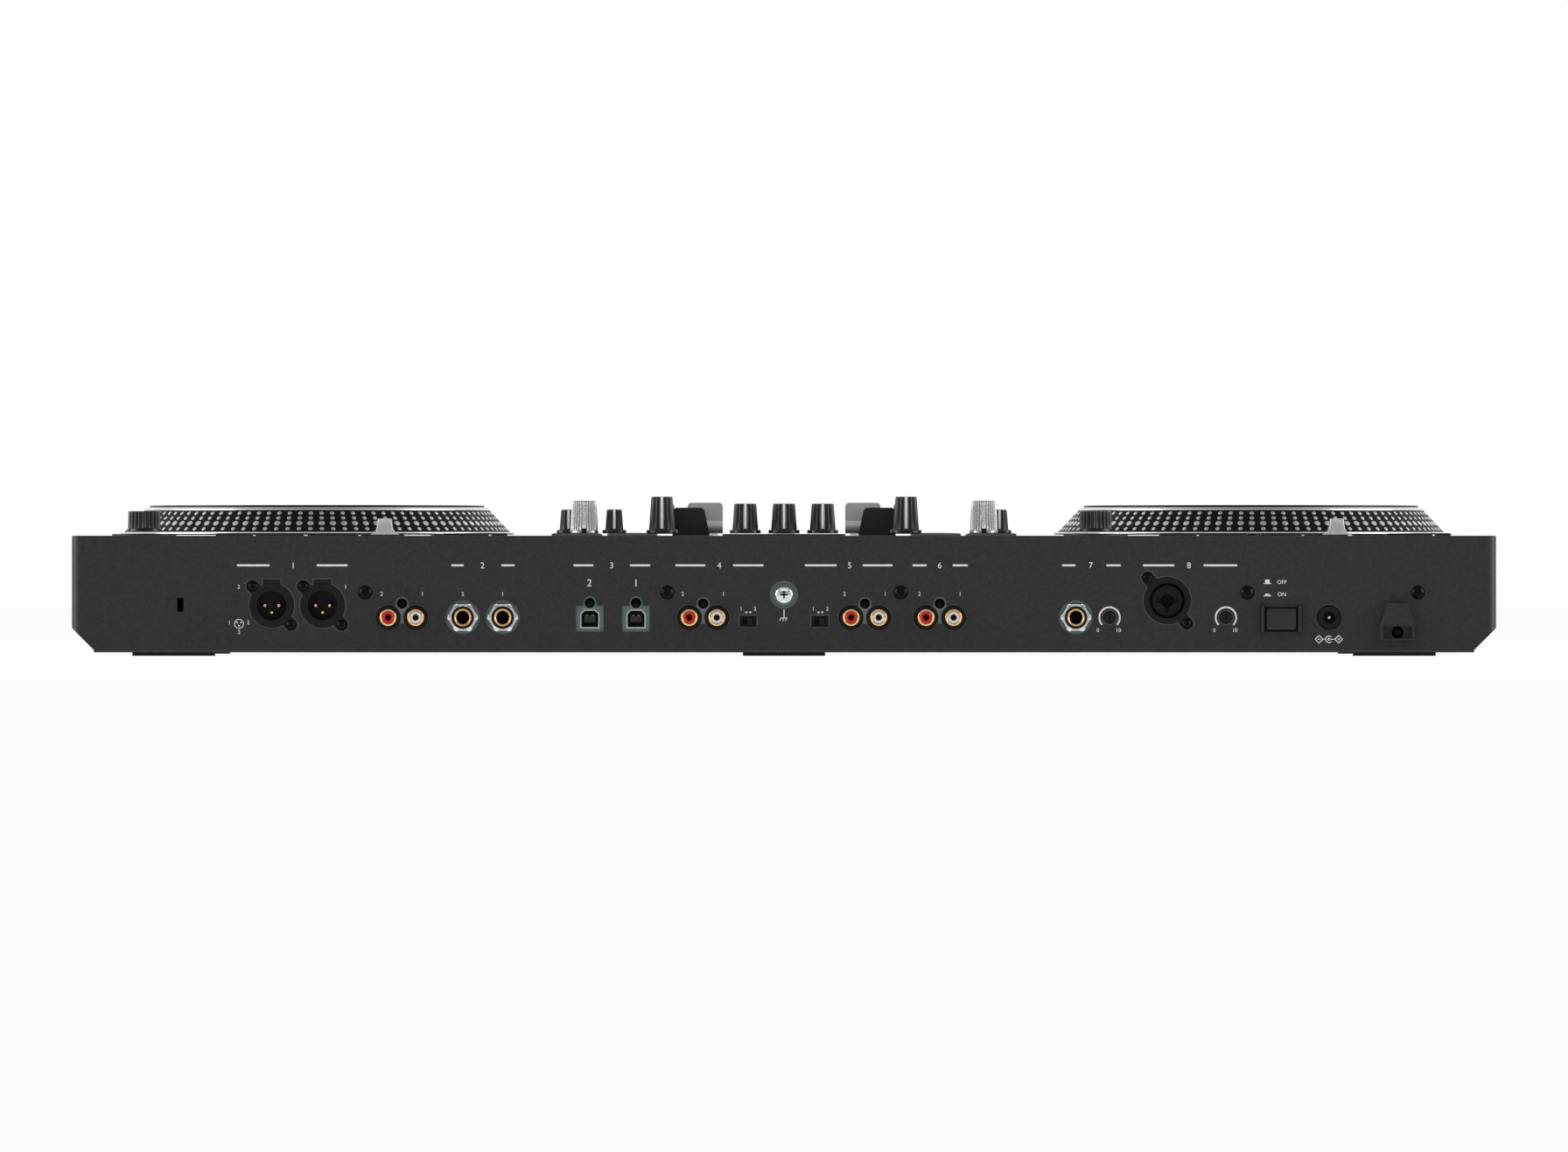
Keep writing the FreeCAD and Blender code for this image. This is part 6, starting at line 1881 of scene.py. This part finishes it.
# Place from front to rear of the rear row of knobs, then kind and place of the knobs that come in pairs
REAR_ROW = 141.5
KNOB_PAIRS = (
    ("gain", KnobStyle.TALL, 63.1, REAR_ROW),
    ("treble", KnobStyle.MID, 63.1, 43.5),
    ("bass", KnobStyle.MID, 63.1, 17.5),
    ("browse", KnobStyle.ENCODER, 103.3, REAR_ROW),
    ("cue", KnobStyle.SMALL, 111.6, 113.5),
)
KNOBS = (
    *(Knob(f"{name}_knob_{side}", style, sign * x, y)
      for name, style, x, y in KNOB_PAIRS for side, sign in SIDES.items()),
    Knob("stop_time_knob_left", KnobStyle.DECK, -161.0, 143.5, gap=2.1),
    Knob("stop_time_knob_right", KnobStyle.DECK, 330.6, 143.5, gap=2.1),
    Knob("effect_knob_left", KnobStyle.MID, -20.0, REAR_ROW),
    Knob("effect_knob_middle", KnobStyle.MID, 0.0, REAR_ROW),
    Knob("effect_knob_right", KnobStyle.MID, 20.0, REAR_ROW),
    Knob("headphone_knob", KnobStyle.SMALL, 87.7, REAR_ROW),
)
FADERS = (
    FaderCap("tempo_fader_left", -285.3, 157.5),
    FaderCap("tempo_fader_right", 206.0, 157.5),
    *(FaderCap(f"channel_fader_{side}", sign * 44.5, -20.5, turned=True) for side, sign in SIDES.items()),
    FaderCap("crossfader", 0.0, -130.5),
)


@dataclass
class TopMarks:
    """The printed scales and rules of the top.

    Attributes:
        moulding: Height of the moulding round the effect knobs over the top.
        ticks: Marks on a scale.
        sweep: Angle from the rear to a dial's end, in degrees.
        dial_ends: Distance of a dial's ticks from the skirt: inner and outer end.
        dial_widths: Width of a dial's main ticks and of the others.
        travel: Slide of the tempo faders and of the others.
        scale_gap: Free distance between a fader's cap and its ticks.
        scale_lengths: Length of a scale's main ticks and of the others.
        scale_width: Width of a scale's ticks.
        text: Height of the numbers, and their distance from the ticks.
        rule: Distance of the long rules from the middle.
        rule_ends: Front and rear end of the long rules.
        rule_width: Width of the long rules.
    """

    moulding: float = 0.9
    ticks: int = 11
    sweep: float = 150.0
    dial_ends: Pair = (0.6, 1.7)
    dial_widths: Pair = (0.6, 0.35)
    travel: Pair = (60.0, 45.0)
    scale_gap: float = 1.6
    scale_lengths: Pair = (2.6, 1.6)
    scale_width: float = 0.4
    text: Pair = (2.4, 5.0)
    rule: float = 131.0
    rule_ends: Pair = (-166.0, 120.0)
    rule_width: float = 0.45

    def build(self) -> None:
        """Prints the top."""
        ink, raised = Print(Facing.UP, CASE_TOP), Print(Facing.UP, CASE_TOP + self.moulding)
        for knob in KNOBS:
            if knob.style in (KnobStyle.TALL, KnobStyle.MID, KnobStyle.SMALL):
                self.dial(raised if knob.node.startswith("effect") else ink, knob)
        for fader in FADERS:
            self.scale(ink, fader)
        for x in (-self.rule, self.rule):
            ink.bar((x, self.rule_ends[0]), (x, self.rule_ends[1]), self.rule_width)
        ink.shapes += raised.shapes
        ink.build("top_print")

    def main_tick(self, order: int) -> bool:
        """Whether a tick is the first, the middle or the last one."""
        return order in (0, self.ticks // 2, self.ticks - 1)

    def dial(self, ink: Print, knob: Knob) -> None:
        """Ticks round a knob, the first, middle and last one thicker.

        Args:
            ink: The marks of the face under the knob.
            knob: The knob.
        """
        edge, middle = knob.style.value.skirt / 2, np.array([knob.x, knob.y])
        for order, turn in enumerate(np.radians(np.linspace(-self.sweep, self.sweep, self.ticks))):
            way = np.array([math.sin(turn), math.cos(turn)])
            start, end = (middle + way * (edge + reach) for reach in self.dial_ends)
            ink.bar(start, end, self.dial_widths[0 if self.main_tick(order) else 1])

    def scale(self, ink: Print, fader: FaderCap) -> None:
        """Ticks along a fader's slot, in front of it or on both sides.

        Args:
            ink: The top's marks.
            fader: The fader.
        """
        tempo = fader.node.startswith("tempo")
        half = self.travel[0 if tempo else 1] / 2
        off = fader.length / 2 + self.scale_gap
        for order, along in enumerate(np.linspace(-half, half, self.ticks)):
            long = self.scale_lengths[0 if self.main_tick(order) else 1]
            for side in (-1,) if tempo else (-1, 1):
                ends = [(along, side * reach) for reach in (off, off + long)]
                if fader.turned:
                    ends = [end[::-1] for end in ends]
                start, end = ((fader.x + x, fader.y + y) for x, y in ends)
                ink.bar(start, end, self.scale_width)
        if fader.turned:
            size, aside = self.text
            for number, along in (("10", half), ("0", -half)):
                ink.text(number, (fader.x - off - aside, fader.y + along), size)


def main() -> None:
    """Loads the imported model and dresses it."""
    logging.basicConfig(level=logging.INFO, format="%(message)s")
    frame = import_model()
    Studio().build()
    for finish, names in NODE_FINISHES.items():
        for name in names:
            dress(frame["nodes"][name], finish)
    for side in SIDES:
        Deck(side).build()
        PadBank(side).build()
        DeckKeys(side).build()
    for control in (*KNOBS, *FADERS):
        control.build()
    RearSockets().build()
    PowerSwitch().build()
    RearMarks().build()
    TopMarks().build()


if __name__ == "__main__":
    main()
